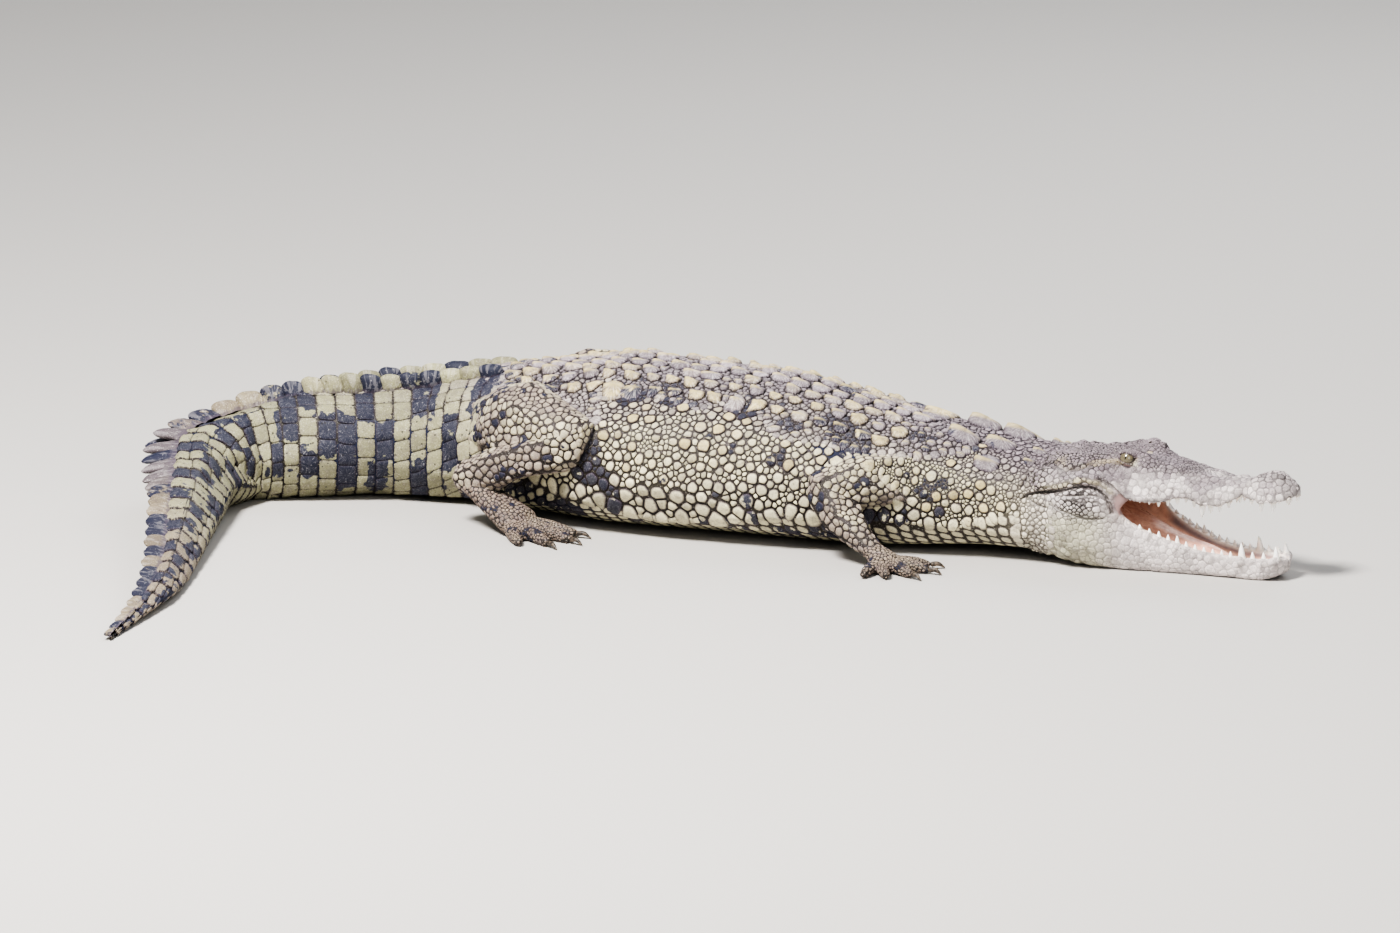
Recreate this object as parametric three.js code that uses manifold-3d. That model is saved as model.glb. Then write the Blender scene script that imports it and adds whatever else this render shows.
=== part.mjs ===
// A life-size Nile crocodile, 3.8 m from snout to tail tip, lying on a flat floor with its jaws apart.
// Units are millimetres. +X points to the head, +Y to the animal's left, +Z up, and the floor is z = 0.
// The trunk lies along X, and the tail swings round to the animal's right and rolls outwards, so that
// its crest leans away from the bend. The last lines move the origin under the middle of the animal.
//
// The body is one skin of oval rings strung on a spine line. Each named part is a length of it, and
// neighbours stand GAP apart. Limbs and jaws are cut back where they meet the part they grow from.
import * as THREE from "three";
import { mergeVertices } from "three/addons/utils/BufferGeometryUtils.js";
import Module from "manifold-3d";

const wasm = await Module();
wasm.setup();

// ---- Driving dimensions ----
const GAP = 0.3; // between neighbours
const CUT = 0.6; // how much a cutter is swollen where a part is cut back from its neighbour
const HEAD_BACK = 720; // X of the cut between head and neck
const SNOUT_TIP = 1232; // X of the front of the upper jaw
const JAW_TIP = 1212; // X of the front of the lower jaw
const VENT = 1340; // distance along the spine from HEAD_BACK to the vent, where the tail starts
const TAIL = 1938; // length of the tail
const HEAD_TURN = -5; // degrees that the head is turned from the trunk's line, to the right
const NECK = 420; // the neck's length, over which that turn is made
const BODY_SIDES = 18;
const MOUTH_CORNER = 865; // X where the jaws part

// ---- Small mathematics ----
const smooth = (x) => {
  const t = Math.min(1, Math.max(0, x));
  return t * t * (3 - 2 * t);
};
const degrees = (a) => (a * Math.PI) / 180;
const vec = (x, y, z) => new THREE.Vector3(x, y, z);

// A smooth curve through stations [position, value] that never overshoots them.
function profile(...stations) {
  const x = stations.map((p) => p[0]);
  const y = stations.map((p) => p[1]);
  const last = x.length - 1;
  const rise = x.slice(1).map((_, i) => (y[i + 1] - y[i]) / (x[i + 1] - x[i]));
  const slope = x.map((_, i) => {
    if (i === 0) return rise[0];
    if (i === last) return rise[last - 1];
    const [a, b] = [rise[i - 1], rise[i]];
    return a * b <= 0 ? 0 : (2 * a * b) / (a + b);
  });
  return (at) => {
    if (at <= x[0]) return y[0];
    if (at >= x[last]) return y[last];
    const i = x.findIndex((_, k) => at < x[k + 1]);
    const h = x[i + 1] - x[i];
    const t = (at - x[i]) / h;
    const [t2, t3] = [t * t, t * t * t];
    return (
      (2 * t3 - 3 * t2 + 1) * y[i] +
      (t3 - 2 * t2 + t) * h * slope[i] +
      (3 * t2 - 2 * t3) * y[i + 1] +
      (t3 - t2) * h * slope[i + 1]
    );
  };
}

// ---- Solids from rings of points ----
// A closed skin over rings that all have the same number of points, with flat ends.
function skinOver(rings) {
  const n = rings[0].length;
  const points = rings.flat();
  const index = [];
  for (let r = 0; r + 1 < rings.length; r++)
    for (let i = 0; i < n; i++) {
      const j = (i + 1) % n;
      const [a, b, c, d] = [r * n + i, r * n + j, r * n + n + i, r * n + n + j];
      index.push(a, b, d, a, d, c);
    }
  const cap = (ring, first, turn) => {
    const centre = ring.reduce((s, p) => s.clone().add(p), vec(0, 0, 0)).divideScalar(n);
    const normal = vec(0, 0, 0);
    ring.forEach((p, i) => {
      const q = ring[(i + 1) % n];
      normal.add(p.clone().sub(centre).cross(q.clone().sub(centre)));
    });
    if (normal.length() < 1e-3) return;
    const u = ring[0].clone().sub(centre).normalize();
    const v = normal.normalize().clone().cross(u);
    const flat = ring.map((p) => {
      const d = p.clone().sub(centre);
      return new THREE.Vector2(d.dot(u), d.dot(v));
    });
    for (const [a, b, c] of THREE.ShapeUtils.triangulateShape(flat, []))
      index.push(...(turn ? [first + a, first + c, first + b] : [first + a, first + b, first + c]));
  };
  cap(rings[0], 0, true);
  cap(rings[rings.length - 1], (rings.length - 1) * n, false);
  const geometry = new THREE.BufferGeometry().setFromPoints(points);
  geometry.setIndex(index);
  return solid(geometry);
}

// A three.js geometry as a manifold-3d solid, turned inside out if its faces point inwards.
function solid(geometry) {
  const bare = geometry.clone();
  bare.deleteAttribute("normal");
  bare.deleteAttribute("uv");
  const merged = mergeVertices(bare, 1e-3);
  const p = merged.attributes.position;
  const corners = [];
  let volume = 0;
  const at = (i) => vec(p.getX(i), p.getY(i), p.getZ(i));
  for (let i = 0; i < merged.index.count; i += 3) {
    const [a, b, c] = [0, 1, 2].map((k) => merged.index.getX(i + k));
    if (a === b || b === c || a === c) continue;
    corners.push(a, b, c);
    volume += at(a).dot(at(b).cross(at(c)));
  }
  if (volume < 0)
    for (let i = 0; i < corners.length; i += 3)
      [corners[i + 1], corners[i + 2]] = [corners[i + 2], corners[i + 1]];
  return new wasm.Manifold(
    new wasm.Mesh({
      numProp: 3,
      vertProperties: new Float32Array(p.array),
      triVerts: new Uint32Array(corners),
    }),
  );
}

// The largest connected piece, so that a cut leaves no crumbs behind.
function largest(body) {
  return body.decompose().sort((a, b) => b.volume() - a.volume())[0];
}

function joined(first, ...others) {
  return largest(others.reduce((a, b) => a.add(b), first));
}

function without(first, ...others) {
  return largest(others.reduce((a, b) => a.subtract(b), first));
}

// ---- The spine line ----
// The heading points back along the body. It turns a little in the neck. In the tail it sweeps gently
// from the hips, bends sharply to the animal's right, then straightens and flicks outwards again.
function heading(s) {
  const t = s - VENT;
  const neck = HEAD_TURN * (1 - smooth(s / NECK));
  const tail = 30 * smooth((t + 120) / 420) + 81 * smooth((t - 412) / 330) - 14 * smooth((t - 1250) / 600);
  return Math.PI + degrees(neck + tail);
}
// How far the tail leans over, towards the outside of its bend.
const lean = (s) => degrees(46 * smooth((s - VENT - 220) / 360) + 6 * smooth((s - VENT - 900) / 500));

const STEP = 4;
const line = [vec(0, 0, 0)];
for (let s = 0; s < VENT + TAIL; s += STEP) {
  const angle = heading(s + STEP / 2);
  const here = line[line.length - 1];
  line.push(here.clone().add(vec(Math.cos(angle) * STEP, Math.sin(angle) * STEP, 0)));
}
// The trunk lies on the X axis, and its back cut keeps its distance from the head.
const trunkLine = line[Math.round(VENT / 2 / STEP)].y;
line.forEach((p) => p.add(vec(HEAD_BACK, -trunkLine, 0)));

// The place, and the directions back, outwards and up, at a distance along the spine.
function spine(s) {
  const k = Math.min(line.length - 2, Math.max(0, Math.floor(s / STEP)));
  const place = line[k].clone().lerp(line[k + 1], (s - k * STEP) / STEP);
  const angle = heading(s);
  const back = vec(Math.cos(angle), Math.sin(angle), 0);
  const level = vec(back.y, -back.x, 0);
  const a = lean(s);
  const out = level.clone().multiplyScalar(Math.cos(a)).add(vec(0, 0, -Math.sin(a)));
  const up = level.clone().multiplyScalar(Math.sin(a)).add(vec(0, 0, Math.cos(a)));
  return { place, back, out, up };
}

// ---- The rings of the body, by distance along the spine ----
const halfWidth = profile(
  [0, 146], [120, 158], [260, 188], [400, 226], [620, 268], [860, 286], [1060, 268], [1220, 214],
  [VENT, 168], [1500, 136], [1700, 106], [1930, 76], [2200, 50], [2640, 30], [3000, 16], [3278, 5],
);
const bodyTop = profile(
  [0, 224], [160, 234], [252, 247], [390, 270], [551, 302], [712, 322], [987, 330], [1150, 312],
  [VENT, 278], [1500, 248], [1700, 226], [1930, 192], [2200, 144], [2640, 88], [3000, 44], [3278, 9],
);
// The height of the ring's underside: under 0 the belly is pressed flat on the floor.
const underside = profile([0, 16], [140, 12], [300, 2], [420, -5], [1250, -5], [1500, -3], [3278, -1.5]);
// Where the ring is widest, as a share of its height, and how square its lower half is.
const widest = profile([0, 0.44], [400, 0.38], [900, 0.35], [VENT, 0.42], [1700, 0.5]);
const squareBelow = profile([0, 3.1], [160, 2.8], [500, 2.7], [1200, 2.6], [1700, 2.2]);
const squareAbove = profile([0, 2.3], [700, 2.1], [1300, 2.05], [1700, 2.1]);

// A point of the ring at s. The angle is 0 on the outer side of the tail's bend, which is the animal's
// left, and 90 degrees on the back. Swelling by more than 0 gives the cutter for a neighbour.
function bodyPoint(s, angle, swell = 0) {
  const { place, out, up } = spine(s);
  const [c, n] = [Math.cos(angle), Math.sin(angle)];
  const power = 2 / (n < 0 ? squareBelow(s) : squareAbove(s));
  const height = bodyTop(s) - underside(s);
  const reach = (n < 0 ? widest(s) : 1 - widest(s)) * height + swell;
  const across = Math.sign(c) * Math.abs(c) ** power * (halfWidth(s) + swell);
  const above = Math.sign(n) * Math.abs(n) ** power * reach;
  const a = lean(s);
  const low = Math.hypot(widest(s) * height * Math.cos(a), halfWidth(s) * Math.sin(a));
  const middle = underside(s) + low;
  const p = place.clone().addScaledVector(out, across).addScaledVector(up, above);
  p.z = Math.max(swell ? -swell : 0, p.z + middle);
  return p;
}

function bodyLength(from, to, rings, swell = 0) {
  return skinOver(
    Array.from({ length: rings + 1 }, (_, r) => {
      const s = from + ((to - from) * r) / rings;
      return Array.from({ length: BODY_SIDES }, (_, i) =>
        bodyPoint(s, (i / BODY_SIDES) * 2 * Math.PI, swell),
      );
    }),
  );
}

// ---- Horny plates that stand up from the back ----
// A plate's outline stands on the body along the spine: it rises from the front, peaks near the back
// and falls sharply. Its foot is sunk into the body.
function plate(s, side, length, height, thick, sunk, domed = false) {
  const peak = domed ? 0.6 : 0.78;
  const outline = [[-0.5, 0], [peak / 2 - 0.5, 0.72], [peak - 0.5, 1], [0.46, 0]];
  const across = domed ? [-1, 0, 1] : [-1, 1];
  const rings = across.map((w) =>
    outline.map(([u, v]) => {
      const along = s + u * length;
      const { out, up } = spine(along);
      const lift = up.clone().multiplyScalar(Math.cos(side)).addScaledVector(out, Math.sin(side));
      const sideways = out.clone().multiplyScalar(Math.cos(side)).addScaledVector(up, -Math.sin(side));
      const tall = v * height * (domed && w !== 0 ? 0.3 : 1) - sunk;
      const half = (thick / 2) * (domed ? 1 : 1 - 0.6 * v);
      const p = bodyPoint(along, Math.PI / 2 - side).addScaledVector(lift, tall);
      p.addScaledVector(sideways, w * half);
      p.z = Math.max(0, p.z);
      return p;
    }),
  );
  return skinOver(rings);
}

// Tail rings get shorter towards the tip. The crest is double as far as MERGE and single beyond it.
const MERGE = 650;
const crestHeight = profile(
  [-60, 12], [120, 17], [380, 24], [520, 48], [MERGE, 66], [1000, 68], [1400, 54], [TAIL, 8],
);
const crestPitch = profile([-60, 50], [500, 44], [1000, 50], [1500, 46], [TAIL, 30]);

function crestPlates(from, to) {
  const plates = [];
  for (let t = -40; t < TAIL - 24; t += crestPitch(t)) {
    const s = VENT + t;
    if (s < from || s >= to) continue;
    const length = Math.min(crestPitch(t) * 1.02, 2 * (to - s) - 4, 2 * (s - from) - 4);
    if (length < 18) continue;
    const apart = 0.62 * (1 - smooth(t / MERGE)) + 0.16;
    const sides = t < MERGE ? [-apart, apart] : [0];
    for (const side of sides)
      plates.push(plate(s, side, length, crestHeight(t), t < MERGE ? 15 : 12, 9));
  }
  return plates;
}

function tailLength(from, to, rings) {
  return joined(bodyLength(from + GAP / 2, to - GAP / 2, rings), ...crestPlates(from, to));
}

// The big keeled plates on the nape: four in a square with one more at each side, and four small
// ones in a row behind the skull.
function napePlates() {
  const found = [];
  for (const [x, angles, length, height] of [
    [612, [-0.24, 0.24, -0.78, 0.78], 80, 24],
    [522, [-0.25, 0.25], 82, 26],
    [684, [-0.28, 0.28, -0.66, 0.66], 34, 12],
  ])
    for (const side of angles)
      found.push(plate(HEAD_BACK - x, side, length, height, length * 0.8, 12, true));
  return found;
}

// ---- The head, by X ----
// Upper jaw and skull: the lip edge, the fullest point of the cheek, the brow edge and the top line.
const lipWidth = profile(
  [HEAD_BACK, 146], [770, 148], [823, 138], [893, 108], [972, 82], [1009, 73], [1055, 73], [1100, 63],
  [1126, 46], [1166, 54], [1200, 47], [1221, 30], [SNOUT_TIP, 14],
);
const lipHeight = profile(
  [HEAD_BACK, 168], [768, 186], [823, 200], [862, 184], [893, 156], [946, 151], [1009, 163], [1055, 153],
  [1085, 155], [1126, 173], [1176, 166], [1214, 171], [SNOUT_TIP, 178],
);
const topHeight = profile(
  [HEAD_BACK, 224], [787, 227], [860, 232], [905, 230], [963, 222], [1019, 212], [1070, 204],
  [1111, 203], [1150, 216], [1185, 220], [1214, 212], [SNOUT_TIP, 196],
);
const browWidth = profile(
  [HEAD_BACK, 66], [800, 62], [868, 57], [920, 46], [1000, 40], [1100, 34], [1157, 28], [1214, 18],
  [SNOUT_TIP, 8],
);
const browHeight = profile(
  [HEAD_BACK, 222], [800, 230], [845, 240], [880, 243], [920, 228], [963, 216], [1021, 205], [1070, 197],
  [1111, 197], [1150, 212], [1185, 217], [1214, 208], [SNOUT_TIP, 193],
);
const cheekWidth = profile(
  [HEAD_BACK, 140], [800, 126], [868, 82], [920, 80], [972, 74], [1009, 69], [1055, 69], [1100, 58],
  [1126, 42], [1166, 50], [1200, 43], [1221, 27], [SNOUT_TIP, 13],
);
const cheekHeight = profile(
  [HEAD_BACK, 192], [800, 202], [868, 204], [920, 194], [1000, 184], [1055, 181], [1111, 183], [1175, 192],
  [SNOUT_TIP, 186],
);

// Points of one side of a section, from the lip edge to the top line, rounded through four stations.
function upperSide(x, count, swell) {
  const stations = [
    [lipWidth(x), lipHeight(x)],
    [cheekWidth(x), cheekHeight(x)],
    [browWidth(x), browHeight(x)],
    [0, topHeight(x)],
  ].map(([y, z], i) => vec(y + (i < 2 ? swell : 0), 0, z + (i === 0 ? -swell : i > 1 ? swell : 0)));
  const curve = new THREE.CatmullRomCurve3(stations, false, "centripetal");
  return Array.from({ length: count }, (_, i) => curve.getPoint(i / (count - 1)));
}

function upperRing(x, swell) {
  const side = upperSide(x, 7, swell);
  const mirrored = side.slice(0, -1).reverse().map((p) => vec(-p.x, 0, p.z));
  const gum = Math.min(12, lipWidth(x) * 0.4);
  const vault = lipHeight(x) + (x > MOUTH_CORNER ? 10 * smooth((SNOUT_TIP - x) / 60) : 0) - swell;
  const inside = Math.max(1, lipWidth(x) - gum);
  const palate = [-0.98, -0.5, 0.5, 0.98].map((w) =>
    vec(w * inside, 0, w ** 2 < 0.5 ? Math.min(vault, topHeight(x) - 4) : lipHeight(x) - swell),
  );
  return [...side, ...mirrored, ...palate].map((p) => vec(x, p.x, p.z));
}

function headStations(from, to, count) {
  return Array.from({ length: count + 1 }, (_, i) => {
    const u = i / count;
    return from + (to - from) * (0.45 * u + 0.55 * Math.sin((u * Math.PI) / 2));
  });
}

function upperHead(swell = 0) {
  const stations = headStations(HEAD_BACK + GAP / 2 - swell, SNOUT_TIP + swell, 21);
  return skinOver(stations.map((x) => upperRing(x, swell)));
}

// Lower jaw: its outer half-width, the gum edge, and the underside on the midline.
const jawWidth = profile(
  [HEAD_BACK, 142], [760, 150], [800, 142], [865, 113], [918, 92], [969, 77], [1043, 64], [1100, 56],
  [1140, 50], [1180, 42], [1200, 28], [JAW_TIP, 8],
);
const gumHeight = profile(
  [HEAD_BACK, 182], [768, 192], [823, 202], [848, 190], [862, 150], [876, 116], [918, 88], [969, 69], [1043, 50], [1100, 45],
  [1160, 45], [1200, 48], [JAW_TIP, 42],
);
const jawUnderside = profile(
  [HEAD_BACK, 14], [790, 2], [860, -4], [1130, -4], [1172, 2], [1198, 11], [JAW_TIP, 27],
);
const GUM = 20; // thickness of the jaw's rim
const ABOVE_JAW = 260; // a height clear of the jaw

function jawRing(x) {
  const w = jawWidth(x);
  const top = gumHeight(x);
  const low = jawUnderside(x);
  const tall = top - low;
  const half = [
    [0, low], [0.45, low], [0.78, low + 0.05 * tall], [0.95, low + 0.24 * tall], [1, low + 0.55 * tall],
    [0.985, low + 0.85 * tall], [0.95, top],
  ].map(([y, z]) => vec(x, y * w, Math.max(0, z)));
  const inner = [0.62, 0.3].map((y) => vec(x, y * w, top));
  const side = [...half, ...inner];
  const other = side.slice(1).reverse().map((p) => vec(x, -p.y, p.z));
  return [...side, vec(x, 0, top), ...other];
}

// The hollow between the two sides of the lower jaw, which closes towards the throat.
const throughMouth = (x) => jawWidth(x) * 0.95 - GUM;
const mouthFloor = profile([770, 130], [830, 92], [900, 66], [1000, 38], [1110, 24], [1185, 26]);
function mouthHollow() {
  const ends = [772, 1186];
  return skinOver(
    Array.from({ length: 12 }, (_, i) => {
      const x = ends[0] + ((ends[1] - ends[0]) * i) / 11;
      const w = Math.max(3, throughMouth(x));
      const floor = mouthFloor(x);
      return [
        [-1, ABOVE_JAW], [-0.98, floor + 12], [-0.8, floor + 3], [0, floor], [0.8, floor + 3],
        [0.98, floor + 12], [1, ABOVE_JAW],
      ].map(([y, z]) => vec(x, y * w, z));
    }),
  );
}

function tongueSolid() {
  const ends = [812, 1090];
  return skinOver(
    Array.from({ length: 11 }, (_, i) => {
      const x = ends[0] + ((ends[1] - ends[0]) * i) / 10;
      const w = Math.max(4, throughMouth(x) * 0.76 * Math.sqrt(Math.max(0.05, 1 - (i / 10) ** 6)) - 2);
      const floor = mouthFloor(x) + 6;
      const tall = 13 * smooth((10.6 - i) / 3);
      return [
        [-0.9, 0], [-1, 0.4], [-0.7, 0.9], [0, 1], [0.7, 0.9], [1, 0.4], [0.9, 0],
      ].map(([y, z]) => vec(x, y * w, floor + z * (tall + 2)));
    }),
  );
}

// ---- Teeth ----
// Each row is [first X, last X, number, usual length, {tooth number: length of the big ones}].
const UPPER_ROWS = [
  [893, 1118, 13, 13, { 8: 32, 7: 19, 9: 20, 10: 16, 0: 7, 1: 8, 2: 9 }],
  [1144, 1219, 4, 15, { 1: 21, 2: 21, 3: 11 }],
];
const LOWER_ROWS = [
  [909, 1100, 11, 11, { 4: 16, 5: 11, 0: 7, 1: 8 }],
  [1124, 1194, 4, 14, { 0: 30, 3: 24 }],
];

function toothCone(x, y, z, length, down) {
  const radius = 2.6 + length * 0.14;
  const cone = new THREE.ConeGeometry(radius, length + 8, 4);
  cone.rotateX(degrees(down ? -90 : 90));
  const lift = (length - 8) / 2;
  cone.translate(x, y, z + (down ? -lift : lift));
  return solid(cone);
}

function teeth(rows, widthAt, edgeAt, down) {
  const found = [];
  for (const [from, to, count, usual, big] of rows)
    for (let i = 0; i < count; i++)
      for (const side of [-1, 1]) {
        const x = from + ((to - from) * i) / (count - 1);
        const y = side * Math.max(9, widthAt(x) * 0.95 - 8);
        found.push(toothCone(x, y, edgeAt(x), big[i] ?? usual, down));
      }
  return found;
}

// ---- Limbs ----
// A limb is a tapering oval rod along a line of points. Its ends are rounded.
const ROUND_END = 0.62; // how far a rod's end stands out, as a share of its radius
function rod(points, radii, { sides = 8, steps = 5, flat = 1, swell = 0, floor = true } = {}) {
  const curve = new THREE.CatmullRomCurve3(points, false, "centripetal");
  const size = profile(...radii.map((r, i) => [i / (radii.length - 1), r]));
  const rings = Array.from({ length: steps + 3 }, (_, i) => {
    const u = Math.min(1, Math.max(0, (i - 1) / steps));
    const end = i === 0 || i === steps + 2;
    const along = curve.getTangentAt(u);
    const level = vec(-along.y, along.x, 0).normalize();
    const up = along.clone().cross(level).negate().normalize();
    if (up.z < 0) up.negate();
    const radius = (size(u) + swell) * (end ? 0.5 : 1);
    const shift = i === 0 ? -1 : i === steps + 2 ? 1 : 0;
    const centre = curve.getPointAt(u).addScaledVector(along, shift * size(u) * ROUND_END);
    return Array.from({ length: sides }, (_, k) => {
      const a = (k / sides) * 2 * Math.PI;
      const p = centre.clone().addScaledVector(level, Math.cos(a) * radius);
      p.addScaledVector(up, Math.sin(a) * radius * flat);
      if (floor) p.z = Math.max(swell ? -swell : 0, p.z);
      return p;
    });
  });
  return skinOver(rings);
}

const mirrorY = (p, side) => vec(p[0], p[1] * side, p[2]);

// Joints of the limbs on the left. The other side is the mirror image, moved a little so that the
// two sides don't match exactly.
const HIND = {
  hip: [-520, 120, 170],
  knee: [-300, 262, 196],
  ankle: [-556, 268, 96],
  root: [-416, 316, 26],
  heading: -24,
};
const FORE = {
  shoulder: [372, 150, 150],
  elbow: [248, 252, 142],
  wrist: [372, 300, 44],
  root: [424, 326, 17],
  heading: -30,
};
const MOVED = { 1: [-26, 14], [-1]: [0, 0] }; // the left feet stand a little further back and out

function shifted(p, side, share) {
  const [dx, dy] = MOVED[side];
  return mirrorY([p[0] + dx * share, p[1] + dy * share, p[2]], side);
}

function hindLeg(side) {
  const hip = shifted(HIND.hip, side, 0);
  const knee = shifted(HIND.knee, side, 0.5);
  const ankle = shifted(HIND.ankle, side, 1);
  const thighLine = [hip, hip.clone().lerp(knee, 0.55).add(vec(-14, 8 * side, 16)), knee];
  const shankTop = knee.clone().add(vec(-18, -4 * side, -10));
  const shankLine = [shankTop, knee.clone().lerp(ankle, 0.5).add(vec(0, 14 * side, 0)), ankle];
  const thigh = (swell) => rod(thighLine, [92, 96, 84, 62, 52], { flat: 1.05, swell });
  const shank = (swell) => rod(shankLine, [52, 52, 46, 37], { swell });
  return { thigh, shank, ankle };
}

function foreLeg(side) {
  const shoulder = shifted(FORE.shoulder, side, 0);
  const elbow = shifted(FORE.elbow, side, 0.5);
  const wrist = shifted(FORE.wrist, side, 1);
  const upperLine = [shoulder, shoulder.clone().lerp(elbow, 0.5).add(vec(0, 10 * side, 10)), elbow];
  const forearmTop = elbow.clone().add(vec(8, 0, -8));
  const forearmLine = [forearmTop, elbow.clone().lerp(wrist, 0.5).add(vec(0, 8 * side, -6)), wrist];
  const upperArm = (swell) => rod(upperLine, [66, 64, 54, 44], { swell });
  const forearm = (swell) => rod(forearmLine, [42, 42, 34, 27], { swell });
  return { upperArm, forearm, wrist };
}

// Digits fan out from the foot. Each is [angle outwards, length, radius at its root].
const TOE_END = 0.62; // radius of a digit's end, as a share of its root's
const HIND_TOES = [[-22, 118, 17], [-5, 142, 18], [12, 140, 17], [31, 112, 15]];
const FORE_TOES = [[-54, 58, 14], [-26, 78, 15], [0, 84, 15], [26, 74, 13], [56, 56, 12]];

function directionAt(heading, side) {
  const a = degrees(heading);
  return vec(Math.cos(a), -Math.sin(a) * side, 0);
}

// A foot's plan: the root of each digit, where it points and how long it is.
function digits(toes, root, heading, spread, side) {
  return toes.map(([angle, length, radius]) => {
    const dir = directionAt(heading - angle, side);
    const sideways = directionAt(heading - 90, side).multiplyScalar((angle / 60) * spread);
    const start = root.clone().add(sideways);
    const tip = start.clone().addScaledVector(dir, length).setZ(9);
    return { start, dir, tip, radius, length };
  });
}

function footSolid(plan, back, root, thick, web) {
  const pieces = plan.map(({ start, tip, radius }) => {
    const toe = [start.clone().setZ(thick * 0.8), start.clone().lerp(tip, 0.5).setZ(radius * 0.95), tip];
    return rod(toe, [radius * 1.05, radius, radius * TOE_END], { sides: 5, steps: 1, flat: 0.92 });
  });
  const palmLine = [back, back.clone().lerp(root, 0.6), root];
  const palm = rod(palmLine, [thick * 1.1, thick * 1.5, thick * 1.9], { sides: 8, steps: 2, flat: 0.62 });
  if (web > 0) {
    const edge = plan.flatMap(({ start, tip }, i) => {
      const here = start.clone().lerp(tip, web);
      const next = plan[i + 1];
      if (!next) return [here];
      const notch = here.clone().add(next.start.clone().lerp(next.tip, web)).multiplyScalar(0.5);
      return [here, notch.lerp(root, 0.18)];
    });
    const outline = [...edge, ...plan.map(({ start }) => start.clone()).reverse()];
    const level = (z) => outline.map((p) => vec(p.x, p.y, z));
    pieces.push(skinOver([level(3), level(10)]));
  }
  return joined(palm, ...pieces);
}

// A claw is a short hooked cone that grows from the tip of a digit.
const CLAW_OUT = 5.2; // how far its root's middle stands off the digit
function clawSolid({ tip, dir, radius }, length) {
  const root = tip.clone().addScaledVector(dir, TOE_END * radius * ROUND_END + CLAW_OUT).setZ(9);
  const middle = root.clone().addScaledVector(dir, length * 0.5).setZ(10);
  const point = root.clone().addScaledVector(dir, length).setZ(2.4);
  return rod([root, middle, point], [5.6, 4.6, 1.4], { sides: 5, steps: 2 });
}

// ---- Materials ----
const material = (color, roughness) => new THREE.MeshStandardMaterial({ color, roughness, metalness: 0 });
const HIDE = material(0xa9a486, 0.8);
const HEAD_HIDE = material(0xc9c3b4, 0.75);
const MOUTH = material(0xb07a5e, 0.55);
const EYE = material(0x8b8064, 0.15);
const CLAW = material(0x4c463f, 0.5);

// ---- Assembly ----
const crocodile = new THREE.Group();
crocodile.name = "nile_crocodile";
// The head is built straight ahead of HEAD_BACK, and its group turns it to meet the neck.
const head = new THREE.Group();
head.name = "head";
head.rotation.z = degrees(HEAD_TURN);
head.position.copy(spine(0).place).sub(vec(HEAD_BACK, 0, 0).applyEuler(head.rotation));
crocodile.add(head);

function add(name, body, look, group = crocodile) {
  const { numProp, numVert, vertProperties, triVerts } = body.getMesh();
  const position = new Float32Array(numVert * 3);
  for (let i = 0; i < numVert; i++)
    position.set(vertProperties.subarray(i * numProp, i * numProp + 3), i * 3);
  const geometry = new THREE.BufferGeometry();
  geometry.setAttribute("position", new THREE.BufferAttribute(position, 3));
  geometry.setIndex(new THREE.BufferAttribute(triVerts, 1));
  const mesh = new THREE.Mesh(geometry, look);
  mesh.name = name;
  group.add(mesh);
}

// Body lengths, from the nape to the tail tip.
const SHOULDER = 400; // distance along the spine
add("neck", joined(bodyLength(GAP / 2, SHOULDER - GAP / 2, 8), ...napePlates()), HIDE);
add("trunk", bodyLength(SHOULDER + GAP / 2, VENT - 60 - GAP / 2, 12), HIDE);
const TAIL_CUTS = [VENT - 60, VENT + 430, VENT + 860, VENT + 1380, VENT + TAIL];
["tail_base", "tail_bend", "tail_middle", "tail_end"].forEach((name, i) =>
  add(name, tailLength(TAIL_CUTS[i], TAIL_CUTS[i + 1], [6, 9, 5, 5][i]), HIDE),
);

// Head.
const EYE_AT = [868, 56, 227];
const EYE_RADIUS = 19;
const eyeball = (side, radius) => {
  const ball = new THREE.SphereGeometry(radius, 10, 7);
  ball.translate(EYE_AT[0], EYE_AT[1] * side, EYE_AT[2]);
  return solid(ball);
};
const sockets = [-1, 1].map((side) => eyeball(side, EYE_RADIUS + GAP * 1.5));
const upperTeeth = teeth(UPPER_ROWS, lipWidth, lipHeight, true);
add("skull", without(joined(upperHead(), ...upperTeeth), ...sockets), HEAD_HIDE, head);
add("eye_right", eyeball(-1, EYE_RADIUS), EYE, head);
add("eye_left", eyeball(1, EYE_RADIUS), EYE, head);
const wholeJaw = skinOver(headStations(HEAD_BACK + GAP / 2, JAW_TIP, 18).map(jawRing));
const lowerJaw = without(wholeJaw, mouthHollow(), upperHead(CUT));
add("lower_jaw", joined(lowerJaw, ...teeth(LOWER_ROWS, jawWidth, gumHeight, false)), HEAD_HIDE, head);
add("tongue", without(tongueSolid(), upperHead(CUT)), MOUTH, head);

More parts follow.
